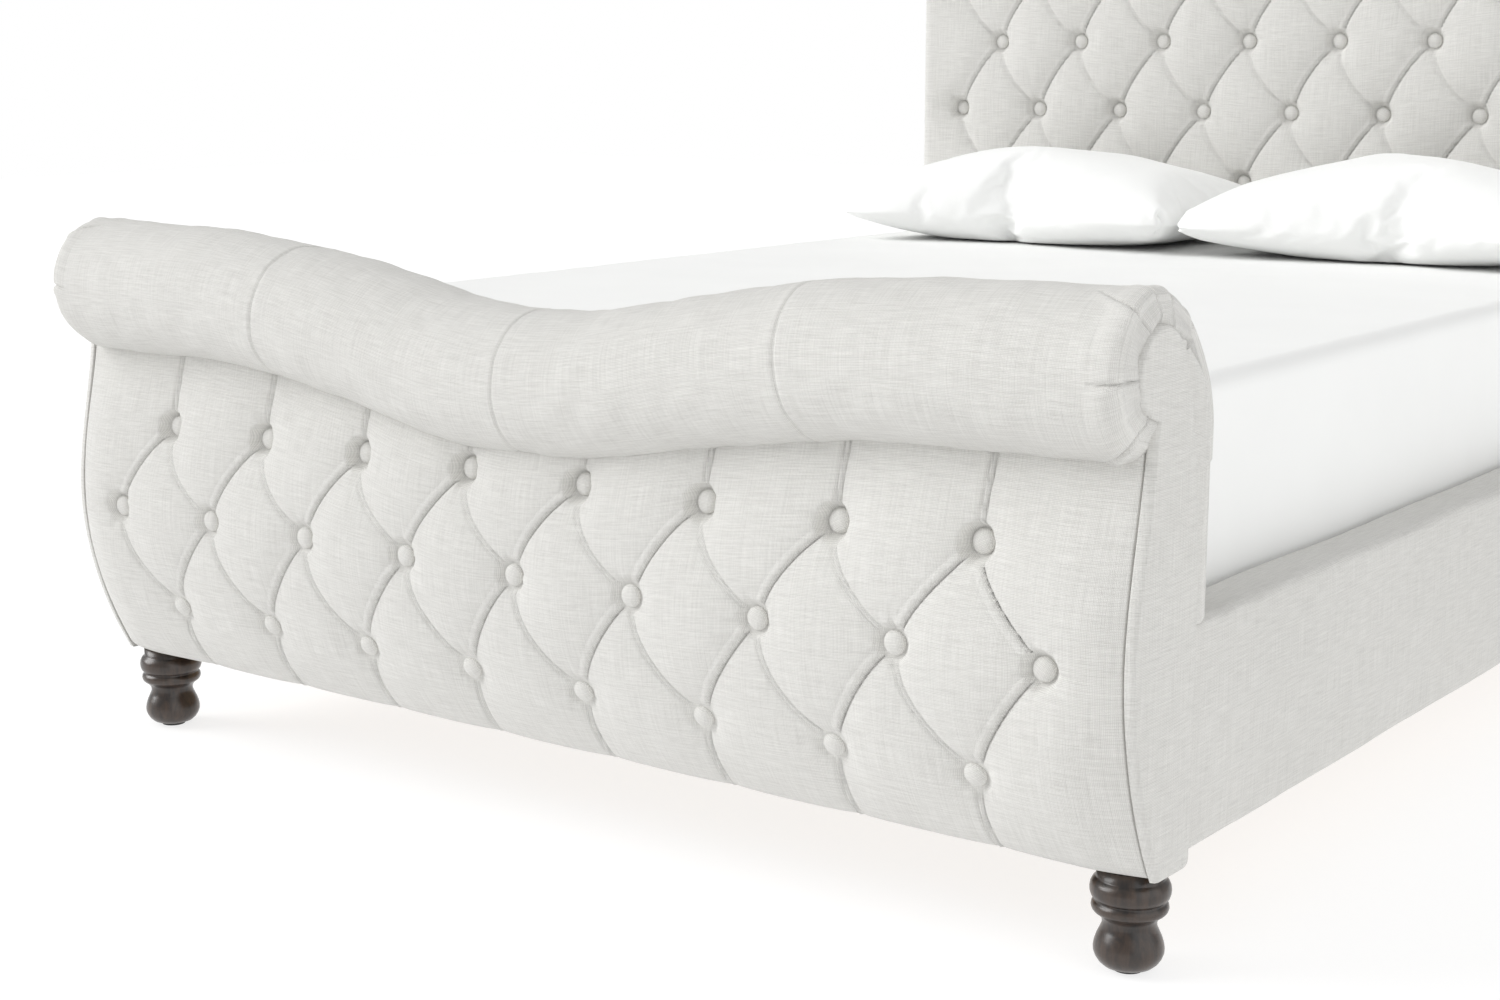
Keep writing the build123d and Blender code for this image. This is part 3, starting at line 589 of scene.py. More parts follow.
def tufting(x, z, rows, low, high, half, depth, dip, seed):
    """How far the cloth lies under its crown: folds, pleats, button hollows and small gathers."""
    chance = np.random.default_rng(seed)
    sunk = np.zeros(x.shape)
    for kind, line in fold_lines(rows, low, high, half):
        at_ends, middle, grooves, (lip_at, lip_width, lip_height, lip_power) = fold_kinds[kind]
        (left, bottom), (right, top) = line.min(0) - fold_reach, line.max(0) + fold_reach
        near = (x > left) & (x < right) & (z > bottom) & (z < top)
        d, sign, share = beside(x[near], z[near], line)
        s = d * sign
        strength = at_ends + middle * np.sin(pi * unit(share))
        fade = unit(np.minimum(share, 1 - share) / 0.10)
        if kind == "pull":
            strength = strength * unit(1 - share) ** 0.6
            fade = unit(share / 0.12) * (1 - share)
        elif kind == "pleat":
            fade = 1.0
        groove = sum(deep * ridge(s, at, width) for at, width, deep in grooves)
        lip = lip_height * ridge(s, lip_at, lip_width, lip_power)
        valley = depth * chance.uniform(0.88, 1.12) * strength * np.exp(-np.hypot(d, 0.0015) / valley_width)
        sunk[near] += valley + (groove - lip) * fade
    for row in rows:
        for bx, bz in row_buttons(row):
            r = np.hypot(x - bx, z - bz)
            near = r < hollow_reach
            turn = np.arctan2(z[near] - bz, x[near] - bx)
            r = r[near]
            ripple = sum(chance.uniform(0.3, 1.0) * np.sin(n * turn + chance.uniform(0, 2 * pi))
                         for n in (5, 7, 9, 12))
            sunk[near] += dip * ridge(r, 0, hollow_width, 1.6) + 0.0007 * ripple * ridge(r, 0.020, 0.016)
    return sunk


def seat_cloth(x, z, sunk, crown, rows):
    """Level the cloth under each button so that it passes just above the button's seat."""
    for row in rows:
        for bx, bz in row_buttons(row):
            weight = unit((0.0255 - np.hypot(x - bx, z - bz)) / 0.0105)
            weight = weight * weight * (3 - 2 * weight)
            target = crown - (row[1] + seat_rise - np.tan(radians(row[2])) * (z - bz))
            sunk = sunk * (1 - weight) + target * weight
    return sunk


def pad_stations(half, gap, edge):
    """Places across the bed, closer together where the cover turns at the two sides."""
    turn = half - edge * (1 - quarter(10))
    inner = np.linspace(-(half - edge), half - edge, int(2 * (half - edge) / gap))
    return np.concatenate([-turn[::-1][:-1], inner, turn[1:]])


def foot_top(x):
    """Height at which the tufted front passes in under the roll."""
    return foot_roll - 0.050 - crest_drop(x)


across = pad_stations(front_half, 0.0023, seam_gap)
rise = np.linspace(0, 1, 236)
grid_x = across[:, None] + 0 * rise[None]
grid_z = underside + 0.004 + rise[None] * (foot_top(across)[:, None] - underside - 0.004)
crown = line_through(foot_crown)(grid_z)
edge_line = line_through(foot_edge)(grid_z)
sunk = tufting(grid_x, grid_z, foot_button_rows, underside, lambda x: foot_top(x) + 0.012, pad_half,
               0.0118, 0.0085, 41)
sunk = sunk - 0.005 + unevenness(grid_x, grid_z, 0.0010, 12)
sunk = seat_cloth(grid_x, grid_z, sunk, crown, foot_button_rows)
from_side = front_half - np.abs(grid_x)
side_ease = unit(1 - from_side / 0.085) ** 2
front_u = ((crown - sunk) * (1 - side_ease) + np.minimum(edge_line - 0.001, crown) * side_ease
           - 0.014 * turned(unit(1 - from_side / seam_gap))
           - 0.012 * turned(unit(1 - (grid_z - underside) / 0.016)))
back = np.linspace(1, 0, 14)
back_z = underside + 0.0005 + back[None] * (foot_top(across)[:, None] - underside)
rings_z = np.concatenate([grid_z, back_z], 1)
rings_u = np.concatenate([front_u, line_through(foot_board)(back_z) + 0.0008], 1)
rings = np.stack([across[:, None] + 0 * rings_z, -(well_face + rings_u), rings_z], -1)
linen_cover("footboard_tufted_cover", rings, "footboard_tufted_pad", across)


# ---------------------------------------------------------------- covered buttons
# Metal shells with the same linen crimped over them, 29 mm across, with the twine's loop
# behind. They are pulled flat against the cloth by toggles at the back of the boards.

button_profile = [(0.0, 0.0090), (0.003, 0.0089), (0.006, 0.0084), (0.009, 0.0075), (0.0115, 0.0062),
                  (0.0132, 0.0047), (0.0142, 0.0030), (0.0145, 0.0014), (0.0143, 0.0), (0.0125, -0.0012),
                  (0.0095, -0.0016)]
button_turns = 30


def covered_button():
    """One button, to be set out by the node tree."""
    turns = [2 * pi * k / button_turns for k in range(button_turns)]
    points = [(0, 0, button_profile[0][1])]
    points += [(r * cos(a), r * sin(a), z) for r, z in button_profile[1:] for a in turns]
    faces = [(0, 1 + k, 1 + (k + 1) % button_turns) for k in range(button_turns)]
    for a in range(1, len(points) - button_turns, button_turns):
        for k in range(button_turns):
            n = (k + 1) % button_turns
            faces.append((a + k, a + button_turns + k, a + button_turns + n, a + n))
    faces.append(list(range(len(points) - button_turns, len(points)))[::-1])
    mesh = bpy.data.meshes.new("button_shape")
    mesh.from_pydata(points, [], faces)
    mesh.polygons.foreach_set("use_smooth", [True] * len(faces))
    layer = mesh.uv_layers.new(name="cloth")
    for loop in mesh.loops:
        layer.data[loop.index].uv = mesh.vertices[loop.vertex_index].co[:2]
    return mesh


def setting_out_tree():
    """Node tree that sets a small piece at each point, turned to the point's own directions."""
    tree = bpy.data.node_groups.new("set_out_pieces", "GeometryNodeTree")
    for name, kind in (("Geometry", "Geometry"), ("Piece", "Object"), ("Size", "Float"),
                       ("Size variation", "Float"), ("Turn variation", "Float"), ("Seed", "Int"),
                       ("Finish", "Material")):
        tree.interface.new_socket(name, in_out="INPUT", socket_type=f"NodeSocket{kind}")
    tree.interface.new_socket("Geometry", in_out="OUTPUT", socket_type="NodeSocketGeometry")
    add = adder(tree)
    given = add("NodeGroupInput").outputs

    def direction(name):
        return add("GeometryNodeInputNamedAttribute", {"Name": name}, data_type="FLOAT_VECTOR")

    def maths(operation, a, b):
        return add("ShaderNodeMath", {0: a, 1: b}, operation=operation)

    def between(low, high):
        return add("FunctionNodeRandomValue", {"Min": low, "Max": high, "Seed": given["Seed"]},
                   data_type="FLOAT")

    stand = add("FunctionNodeAlignRotationToVector", {"Vector": direction("outward")}, axis="Z")
    head = add("FunctionNodeAlignRotationToVector", {"Rotation": stand, "Vector": direction("forward")},
               axis="X", pivot_axis="Z")
    turn, size, vary = given["Turn variation"], given["Size"], given["Size variation"]
    twist = add("FunctionNodeAxisAngleToRotation", {"Angle": between(maths("MULTIPLY", turn, -1.0), turn)})
    askew = add("FunctionNodeRotateRotation", {"Rotation": head, "Rotate By": twist},
                rotation_space="LOCAL")
    piece = add("GeometryNodeObjectInfo", {"Object": given["Piece"]}).outputs["Geometry"]
    pieces = add("GeometryNodeInstanceOnPoints", {
        "Points": given["Geometry"], "Instance": piece, "Rotation": askew,
        "Scale": between(maths("SUBTRACT", size, vary), maths("ADD", size, vary))})
    real = add("GeometryNodeRealizeInstances", {"Geometry": pieces})
    dressed = add("GeometryNodeSetMaterial", {"Geometry": real, "Material": given["Finish"]})
    add("NodeGroupOutput", {"Geometry": dressed})
    return tree


setting_out = setting_out_tree()


def applied(thing):
    """An object's mesh with its modifiers applied."""
    graph = bpy.context.evaluated_depsgraph_get()
    return bpy.data.meshes.new_from_object(thing.evaluated_get(graph), depsgraph=graph)


def set_out(name, shape, points, outward, forward, material, seed, vary=0.0, twist=0.0):
    """Set a small piece at each point and keep the result as one plain mesh on the bedstead."""
    mesh = bpy.data.meshes.new(name + "_points")
    mesh.from_pydata([tuple(p) for p in points], [], [])
    for key, rows in (("outward", outward), ("forward", forward)):
        layer = mesh.attributes.new(key, "FLOAT_VECTOR", "POINT")
        layer.data.foreach_set("vector", np.array(rows, float).ravel())
    carrier, piece = put(name + "_points", mesh), put(name + "_shape", shape)
    nodes = carrier.modifiers.new("setting_out", "NODES")
    nodes.node_group = setting_out
    values = {"Piece": piece, "Size": 1.0, "Size variation": vary, "Turn variation": twist,
              "Seed": seed, "Finish": material}
    for item in setting_out.interface.items_tree:
        if item.in_out == "INPUT" and item.name in values:
            nodes[item.identifier] = values[item.name]
    plain = applied(carrier)
    plain.name = name
    for key in ("outward", "forward"):
        if key in plain.attributes:
            plain.attributes.remove(plain.attributes[key])
    bpy.data.objects.remove(carrier)
    bpy.data.objects.remove(piece)
    done = put(name, plain)
    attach(done, "bedstead")
    return done


def set_buttons(board, side, rows, way, seed):
    """Buttons of one board; way is +1 where its buttoned face looks out of the bed."""
    points, outward = [], []
    for row in rows:
        _, u, lean, _ = row
        for x, z in row_buttons(row):
            points.append((x, side * (well_face + u), z))
            outward.append((0, side * way * cos(radians(lean)), sin(radians(lean))))
    buttons = set_out(f"{board}_covered_buttons", covered_button(), points, outward,
                      [(1, 0, 0)] * len(points), linen, seed, vary=0.012, twist=0.5)
    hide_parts(f"{board}_buttons")


set_buttons("footboard", -1, foot_button_rows, 1, 3)


# ---------------------------------------------------------------- rolled top of the footboard
# Foam wrapped round a hollow plywood former that dips in the middle, covered in four widths
# of linen joined at the middle and about a quarter either side, gathered in at both ends.

roll_reach = 0.167
roll_skirt = 0.110
roll_seams = (-0.430, 0.0, 0.430)
roll_end_round = 0.032
roll_end_radius = 0.0725
skirt_end_round = 0.043
comma_radius = 0.167
tuck_step = 0.004
edge_power = 2.2
# pleats at the end: angle where each starts, how far it curls round, how long it is
end_pleats = [(-58, -20, 0.050), (-2, 3, 0.036), (57, 22, 0.062), (88, 8, 0.050), (112, 6, 0.050),
              (146, 5, 0.046)]
# beyond the turn: how far in from the edge and how far out each last ring stands
end_bulge = [(0.006, 0.0026), (0.012, 0.0048), (0.018, 0.0056), (0.024, 0.0046), (0.028, 0.0010),
             (0.0295, -0.0011)]


def roll_outline():
    """Side view of the roll about its centre: under, front, top, then down the mattress side."""
    drop = comma_radius - roll_radius
    front_turns, back_turns = np.radians(np.arange(-100, 90, 1.4)), np.radians(np.arange(90, 180.1, 1.25))
    under = [(roll_radius * cos(a), roll_radius * sin(a)) for a in front_turns]
    over = [(comma_radius * cos(a), comma_radius * sin(a) - drop) for a in back_turns]
    skirt = [(-comma_radius, z) for z in np.linspace(-drop - 0.005, -roll_skirt + 0.006, 5)]
    tuck = [(-comma_radius + 0.003, -roll_skirt + 0.001)]
    tuck += [(-comma_radius + u, -roll_skirt) for u in (0.008, 0.030, 0.060, 0.092)] + [(-0.050, -0.100)]
    return np.array(under + over + skirt + tuck)


def roll_places(half):
    """Places along the roll, closer together at the seams and towards its ends."""
    seam_zone = np.concatenate([s + np.linspace(-0.012, 0.012, 13) for s in roll_seams])
    plain = np.linspace(-half + 0.10, half - 0.10, 190)
    ends = half - np.concatenate([np.linspace(0.036, 0.10, 26), 0.036 * (1 - quarter(20))])
    return np.unique(np.round(np.concatenate([-ends, seam_zone, plain, ends]), 6))[:, None]


def make_roll(board, side, height, seed):
    """The rolled top of one board."""
    outline = roll_outline()
    u, v = outline[None, :, 0], outline[None, :, 1]
    way = np.roll(outline, -1, 0) - np.roll(outline, 1, 0)
    out = np.stack([way[:, 1], -way[:, 0]], 1) / np.linalg.norm(way, axis=1)[:, None]
    out[outline[:, 0] < -comma_radius + 1e-6] = (-1.0, 0.0)
    angle = np.degrees(np.arctan2(outline[:, 1], outline[:, 0]))
    angle = np.where(angle < -101, angle + 360, angle)
    x = roll_places(cover_half)
    from_end = np.clip(cover_half - np.abs(x), 0, None)
    round_share = unit((angle + 100) / 10) * unit((175 - angle) / 65)
    taper = (roll_radius - roll_end_radius) * round_share + skirt_end_round * (1 - round_share)
    turn_in = roll_end_round * round_share + skirt_end_round * (1 - round_share)
    inset = taper[None] * turned(unit(1 - from_end / turn_in[None]), edge_power)
    seam = sum(ridge(x, s, 0.0022) for s in roll_seams)
    shoulders = sum(ridge(np.abs(x - s), 0.009, 0.006) for s in roll_seams)
    girth = lengths_along(outline)[None]
    puckers = shoulders * np.sin(girth * 2 * pi / 0.017) * 0.0003
    lumps = (unevenness(x, girth, 0.0016, seed)
             + unevenness(x, girth, 0.0006, seed + 1, short=0.02, long=0.08))
    # cloth gathered round the end: each pleat is a soft step that fades inwards from the end
    pleats = 0
    for at, curl, length in end_pleats:
        s = angle[None] - at - curl * (from_end / length) ** 1.4
        groove = 0.0074 * ridge(s, 0, 1.25) - 0.0026 * ridge(s, -5.5, 4.2)
        pleats = pleats + unit(1 - from_end / length) ** 0.5 * groove
    depth = inset + seam * 0.0024 - shoulders * 0.0004 + puckers + lumps + pleats
    depth = np.where((angle > 178)[None], np.clip(depth, 0, None), depth)
    tucked = v < -roll_skirt + 0.002
    depth = np.where(tucked, np.clip(depth, 0, 0.003), depth)
    local_u = u - out[None, :, 0] * depth
    local_z = v - out[None, :, 1] * depth
    # the skirt's hem turns in under itself, each point of it a step further in than the last
    skirt_face = -comma_radius + skirt_end_round * turned(unit(1 - from_end / skirt_end_round), edge_power)
    steps = np.clip(np.cumsum(tucked, axis=1), 0, 6) * tuck_step
    local_u = np.where(tucked, np.maximum(local_u, skirt_face + steps), local_u)
    shift = unit(1 - from_end / roll_end_round) * round_share[None]
    local_u = local_u + 0.004 * shift
    local_z = local_z + 0.007 * shift
    lean = crest_lean(x)
    rings = np.stack([x - np.sin(lean) * local_z, side * (well_face + roll_reach + local_u),
                      height - crest_drop(x) + np.cos(lean) * local_z], -1)
    # beyond the turn the gathered cloth swells round the end panel and tucks in behind its edge
    inward = np.stack([0 * angle, -side * out[:, 0] * round_share, -out[:, 1] * round_share], -1)
    added = {}
    for end, way in ((0, -1), (-1, 1)):
        added[end] = []
        for k, (pull, swell) in enumerate(end_bulge):
            ring = rings[end] + inward * pull
            wave = 1 + 0.35 * np.sin(angle / 11 + k) * round_share
            ring[:, 0] += way * (swell * wave * round_share + 0.0003 * (k + 1) * (1 - round_share))
            added[end].append(ring)
    rings = np.concatenate([added[0][::-1], rings, added[-1]])
    beyond = np.arange(1, len(end_bulge) + 1) * 0.006
    spread = np.concatenate([x[0, 0] - beyond[::-1], x[:, 0], x[-1, 0] + beyond])
    linen_cover(f"{board}_roll_cover", rings, f"{board}_roll_pad", spread)


make_roll("footboard", -1, foot_roll, 21)


# ---------------------------------------------------------------- end panels
# A keyhole-shaped board at each end of the footboard and headboard, padded and covered on
# the bench, then pinned over the raw edges of the other covers so that it stands proud.

panel_round = 0.0055
panel_crown = 0.0035
panel_crown_reach = 0.050
panel_corner = 0.016
panel_columns = 72
foot_levels = (0, 0.0006, 0.0018, 0.0036, 0.006, 0.009, 0.012)


def outline_of(node, x):
    """The outline of a CAD piece's flat face at x, as points (y, z) in order."""
    mesh = bmesh.new()
    mesh.from_mesh(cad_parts[node].data)
    bmesh.ops.remove_doubles(mesh, verts=mesh.verts, dist=1e-6)
    mesh.normal_update()
    flat = [f for f in mesh.faces if abs(f.normal.x) > 0.99 and abs(f.calc_center_median().x - x) < 1e-4]
    inside = set(flat)
    rim = [e for e in {e for f in flat for e in f.edges} if sum(f in inside for f in e.link_faces) == 1]
    follow = {}
    for edge in rim:
        a, b = edge.verts
        follow.setdefault(a, []).append(b)
        follow.setdefault(b, []).append(a)
    start = here = rim[0].verts[0]
    before, points = None, []
    while True:
        points.append((here.co.y, here.co.z))
        onward = [v for v in follow[here] if v is not before]
        before, here = here, onward[0]
        if here is start:
            break
    mesh.free()
    return np.array(points)


def ease_corner(rim, at, radius):
    """Round one corner of an outline."""
    corner = rim[at]
    order = np.roll(rim, -at, 0)[1:]
    order = order[np.linalg.norm(order - corner, axis=1) > radius]
    return np.concatenate([eased_corner(corner, order[-1], order[0], radius), order])


def make_end_panel(board, hand, sign):
    """One padded end panel."""
    node = f"{board}_end_panel_{hand}"
    low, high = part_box(node)
    inner, outer = sorted((abs(low.x), abs(high.x)))
    rim = outline_of(node, sign * outer)
    rim = ease_corner(rim, int(np.argmin(rim[:, 1] + 0.1 * np.abs(rim[:, 0]))), panel_corner)
    levels = np.unique(np.round(np.concatenate([
        low.z + np.array(foot_levels),
        np.linspace(low.z + 0.012, high.z - 0.05, int((high.z - low.z) / 0.008)),
        high.z - 0.05 * (1 - quarter(30))]), 6))
    a, b = rim, np.roll(rim, -1, 0)
    sides = []
    for z in np.clip(levels, low.z + 1e-6, high.z - 1e-6):
        hit = (a[:, 1] - z) * (b[:, 1] - z) < 0
        t = (z - a[hit, 1]) / (b[hit, 1] - a[hit, 1])
        y = a[hit, 0] + t * (b[hit, 0] - a[hit, 0])
        sides.append((y.min(), y.max()) if len(y) else (np.nan, np.nan))
    sides = np.array(sides)
    t = (1 - np.cos(np.linspace(0, pi, panel_columns))) / 2
    y = sides[:, :1] + t[None] * (sides[:, 1:] - sides[:, :1])
    z = levels[:, None] + 0 * y
    d, _, _ = beside(y, z, np.concatenate([rim, rim[:1]]))
    edge = np.sqrt(unit(1 - (1 - unit(d / panel_round)) ** 2))
    soft = 1 - np.exp(-d / panel_crown_reach)
    height = (outer - inner) * edge + panel_crown * soft + unevenness(y, z, 0.0009, 70 + sign) * edge
    mesh = bmesh.new()
    layer = mesh.loops.layers.uv.new("cloth")
    for x, flip in ((inner + height, sign < 0), (inner + 0 * height, sign > 0)):
        made = [[mesh.verts.new(p) for p in row] for row in np.stack([sign * x, y, z], -1)]
        for row, above in zip(made, made[1:]):
            for k in range(panel_columns - 1):
                corners = [row[k], row[k + 1], above[k + 1], above[k]]
                quad = mesh.faces.new(corners[::-1] if flip else corners)
                quad.smooth = True
                for loop in quad.loops:
                    loop[layer].uv = (loop.vert.co.y + loop.vert.co.x, loop.vert.co.z)
    bmesh.ops.remove_doubles(mesh, verts=mesh.verts, dist=0.00012)
    bmesh.ops.recalc_face_normals(mesh, faces=mesh.faces)
    data = bpy.data.meshes.new(f"{node}_cover")
    mesh.to_mesh(data)
    mesh.free()
    data.materials.append(linen)
    panel = put(f"{node}_cover", data)
    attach(panel, "bedstead")
    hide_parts(node)


for hand, sign in hands:
    make_end_panel("footboard", hand, sign)


# ---------------------------------------------------------------- footboard's mattress side
# A plain foam pad between the slats and the roll, mostly behind the mattress. It is cut
# away below the rails' tops, where the rails hook in.

plain_edge = 0.044
end_flap = 0.112
flap_starts = (pad_half + 0.0001, pad_half + 0.0003)
rail_low, rail_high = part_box("side_rail_pad_right")
rail_gap = 0.0006


def inner_top(x):
    """Height at which the footboard's plain pad passes in under the roll's skirt."""
    return foot_roll - 0.070 - float(crest_drop(x))


low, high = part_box("footboard_plain_pad")
step = rail_low.x - 0.0005
half = cover_half - 0.001
turn = half - plain_edge * (1 - quarter(8))
outer = np.concatenate([np.linspace(step + 0.0005, half - plain_edge, 10)[:-1], turn[turn < pad_half],
                        flap_starts, [half]])
across = np.concatenate([-outer[::-1], np.linspace(-step, step, 120), outer])
rings = []
for x in across:
    top, base = inner_top(x), rail_high.z + rail_gap if abs(x) > step else low.z
    pull = plain_edge * float(turned(max(0.0, 1 - (half - abs(x)) / plain_edge)))
    deep = high.y - low.y - 0.0004 if abs(x) < pad_half + 0.0002 else end_flap
    outline = rounded([(pull, base), (deep, base), (deep, top), (pull, top)],
                      [0.006, 0.002, 0.002, 0.002], gap=0.5)
    rings.append([(x, -(well_face + u), z) for u, z in outline])
linen_cover("footboard_inner_cover", rings, "footboard_plain_pad", across)


# ---------------------------------------------------------------- headboard
# Built like the footboard but tall, with its buttoned face towards the mattress and its
# roll turned to the back. The back is one plain cover over thin foam on the curved board.

head_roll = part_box("headboard_roll_pad")[1].z - roll_radius
head_button_rows = [(0.745, 0.033, 0, 8), (0.885, 0.033, 0, 9), (1.025, 0.033, 0, 8), (1.165, 0.033, 0, 9)]
head_pad_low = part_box("headboard_tufted_pad")[0].z
head_pad_depth = 0.0735
head_plain_from = 0.56
head_side_round = 0.030
head_board = [(0.120, 0.130), (0.700, 0.150), (1.361, 0.146)]
head_back_foam = 0.018


def head_top(x):
    """Height at which the headboard's tufted face passes in under its roll."""
    return head_roll - 0.096 - crest_drop(x)


extra = [s * place for s in (-1, 1) for place in (rail_low.x - 0.0012, rail_low.x + 0.0002, *flap_starts)]
across = np.unique(np.concatenate([pad_stations(cover_half, 0.0036, 0.004), extra]))
pad_foot = np.where(np.abs(across) > rail_low.x - 0.0008, rail_high.z + rail_gap, head_pad_low)[:, None]
low_part, high_part = np.linspace(0, 1, 9)[:-1][None], np.linspace(0, 1, 205)[None]
top_edge = head_top(across)[:, None]
grid_z = np.concatenate([pad_foot + low_part * (head_plain_from - pad_foot),
                         head_plain_from + high_part * (top_edge - head_plain_from)], 1)
grid_x = across[:, None] + 0 * grid_z
sunk = tufting(grid_x, grid_z, head_button_rows, 0.60, lambda x: head_top(x) + 0.01, pad_half,
               0.0150, 0.0105, 43)
sunk = np.clip(sunk - 0.003 + unevenness(grid_x, grid_z, 0.0010, 14), 0.0006, None)
sunk = seat_cloth(grid_x, grid_z, sunk, 0 * grid_z, [(z, -u, 0, n) for z, u, _, n in head_button_rows])
face_u = sunk + head_side_round * turned(unit(1 - (cover_half - np.abs(grid_x)) / head_side_round))
back_z = pad_foot + np.linspace(1, 0, 12)[None] * (top_edge - pad_foot)
flap = np.where(np.abs(across) > pad_half + 0.0002, end_flap, head_pad_depth)[:, None]
rings_z = np.concatenate([grid_z, back_z], 1)
rings_u = np.concatenate([face_u, flap + 0 * back_z], 1)
rings = np.stack([across[:, None] + 0 * rings_z, well_face + rings_u, rings_z], -1)
linen_cover("headboard_tufted_cover", rings, "headboard_tufted_pad", across)

set_buttons("headboard", 1, head_button_rows, -1, 5)
make_roll("headboard", 1, head_roll, 23)
for hand, sign in hands:
    make_end_panel("headboard", hand, sign)

across = pad_stations(cover_half, 0.012, 0.012)
back_top = (head_roll - 0.040 - crest_drop(across))[:, None]
board_u = line_through(head_board)
grid_z, under_z = (underside + 0.0005 + share[None] * (back_top - underside)
                   for share in (np.linspace(0, 1, 120), np.linspace(1, 0, 10)))
grid_x = across[:, None] + 0 * grid_z
back_u = (board_u(grid_z) + head_back_foam + unevenness(grid_x, grid_z, 0.0016, 15)
          - 0.002 * sum(ridge(grid_x, s, 0.004) for s in roll_seams)
          - 0.010 * turned(unit(1 - (cover_half - np.abs(grid_x)) / 0.012))
          - 0.008 * turned(unit(1 - (grid_z - underside) / 0.010)))
rings_z = np.concatenate([grid_z, under_z], 1)
rings_u = np.concatenate([back_u, board_u(under_z) + 0.0008], 1)
rings = np.stack([across[:, None] + 0 * rings_z, well_face + rings_u, rings_z], -1)
linen_cover("headboard_back_cover", rings, "headboard_plain_pad", across)


# ---------------------------------------------------------------- staples of the dust covers
# Galvanised 10 mm staples, shot a little askew every 45 mm along both edges of the black
# cloth under each board, where they also hold the turned-under edge of the linen.

staple_width = 0.010
staple_wire = 0.0011
staple_pitch = 0.045
staple_inset = 0.0055
staple_askew = radians(14)


def staple():
    """The part of a staple that shows: its crown, with both corners bent in."""
    w, t = staple_width / 2, staple_wire / 2
    outline = [(-w, -2 * t), (-w, 0.6 * t), (-w + t, 1.4 * t), (w - t, 1.4 * t), (w, 0.6 * t), (w, -2 * t)]
    points = [(x, y, z) for y in (-t, t) for x, z in outline]
    count = len(outline)
    faces = [(k, (k + 1) % count, (k + 1) % count + count, k + count) for k in range(count)]
    faces += [tuple(range(count))[::-1], tuple(range(count, 2 * count))]
    mesh = bpy.data.meshes.new("staple_shape")
    mesh.from_pydata(points, [], faces)
    shape = bmesh.new()
    shape.from_mesh(mesh)
    bmesh.ops.recalc_face_normals(shape, faces=shape.faces)
    shape.to_mesh(mesh)
    shape.free()
    return mesh


for board, seed in zip(boards, (61, 62)):
    low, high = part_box(f"{board}_dust_cover")
    feet_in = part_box("foot_front_right")[0].x - 0.012
    shots = [(x, y, low.z) for y in (low.y + staple_inset, high.y - staple_inset)
             for x in np.arange(-feet_in, feet_in, staple_pitch)]
    set_out(f"{board}_dust_cover_staples", staple(), shots, [(0, 0, -1)] * len(shots),
            [(1, 0, 0)] * len(shots), zinc, seed, vary=0.03, twist=staple_askew)


# ---------------------------------------------------------------- mattress and fitted sheet
# A foam and spring mattress with rounded edges, in pale ticking, and over it a white percale
# sheet whose corners are sewn to a pocket and whose hem is elasticated.

ticking_tones = (0.62, 0.60, 0.55), (0.74, 0.72, 0.67)
percale_tones = (0.90, 0.905, 0.895), (0.955, 0.96, 0.95)


def cotton(name, tones, thread, rise):
    """Plain woven cotton, by place in the bed, so that it needs no map."""
    woven = Finish(name)
    place = woven.place()
    fine, soft = woven.noise(place, 1 / thread, 2, 0.6), woven.noise(place, 5, 3)
    return woven.done(Base_Color=woven.colour(woven.mix(0.35, fine, soft), *tones),
                      Normal=woven.bump(fine, 0.35, rise), Roughness=0.9,
                      Specular_IOR_Level=0.2, Sheen_Weight=0.15)


ticking = cotton("mattress_ticking", ticking_tones, 0.0015, 0.0006)
percale = cotton("white_percale", percale_tones, 0.0006, 0.0002)

mattress_low, mattress_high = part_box("mattress")
sheet_low, sheet_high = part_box("fitted_sheet")
half_x, half_y = mattress_high.x, mattress_high.y
mattress_corner = 0.070
mattress_edge = 0.028
corner_steps = 14
ring_gap = 0.024
top_crown = 0.001
sheet_thickness = 0.0009


def rounded_ring(half_x, half_y, corner, z):
    """A level ring with round corners, always with the same number of points."""
    corner = min(corner, half_x - 0.001, half_y - 0.001)
    counts = [int(2 * (half - mattress_corner) / ring_gap) for half in (mattress_high.y, mattress_high.x)]
    centres = [(way_x * (half_x - corner), way_y * (half_y - corner))
               for way_x, way_y in ((1, -1), (1, 1), (-1, 1), (-1, -1))]
    ring = []
    for i, (x, y) in enumerate(centres):
        for a in np.radians(np.linspace(90 * i - 90, 90 * i, corner_steps)):
            ring.append((x + corner * cos(a), y + corner * sin(a), z))
        x, y = centres[(i + 1) % 4]
        start, end = ring[-1], (x + corner * cos(pi / 2 * i), y + corner * sin(pi / 2 * i))
        for share in np.arange(1, counts[i % 2]) / counts[i % 2]:
            ring.append((start[0] + (end[0] - start[0]) * share, start[1] + (end[1] - start[1]) * share, z))
    return ring


def bedding_rings(half_x, half_y, low, high, crown):
    """Rings up the side, over the edge and in to the middle of the top."""
    rings = [rounded_ring(half_x, half_y, mattress_corner, z)
             for z in np.linspace(low, high - mattress_edge, 14)]
    for a in np.linspace(0, pi / 2, 9)[1:]:
        pull = mattress_edge * (1 - cos(a))
        rings.append(rounded_ring(half_x - pull, half_y - pull, mattress_corner - 0.6 * pull,
                                  high - mattress_edge + mattress_edge * sin(a)))
    for share in np.linspace(0, 1, 34)[1:]:
        inset = mattress_edge + share * (half_x - mattress_edge - 0.002)
        rise = crown * (1 - (1 - share) ** 2.5)
        corner = max(0.0015, mattress_corner - 0.6 * mattress_edge - inset * 0.5)
        rings.append(rounded_ring(half_x - inset, half_y - inset, corner, high + rise))
    return np.array(rings)


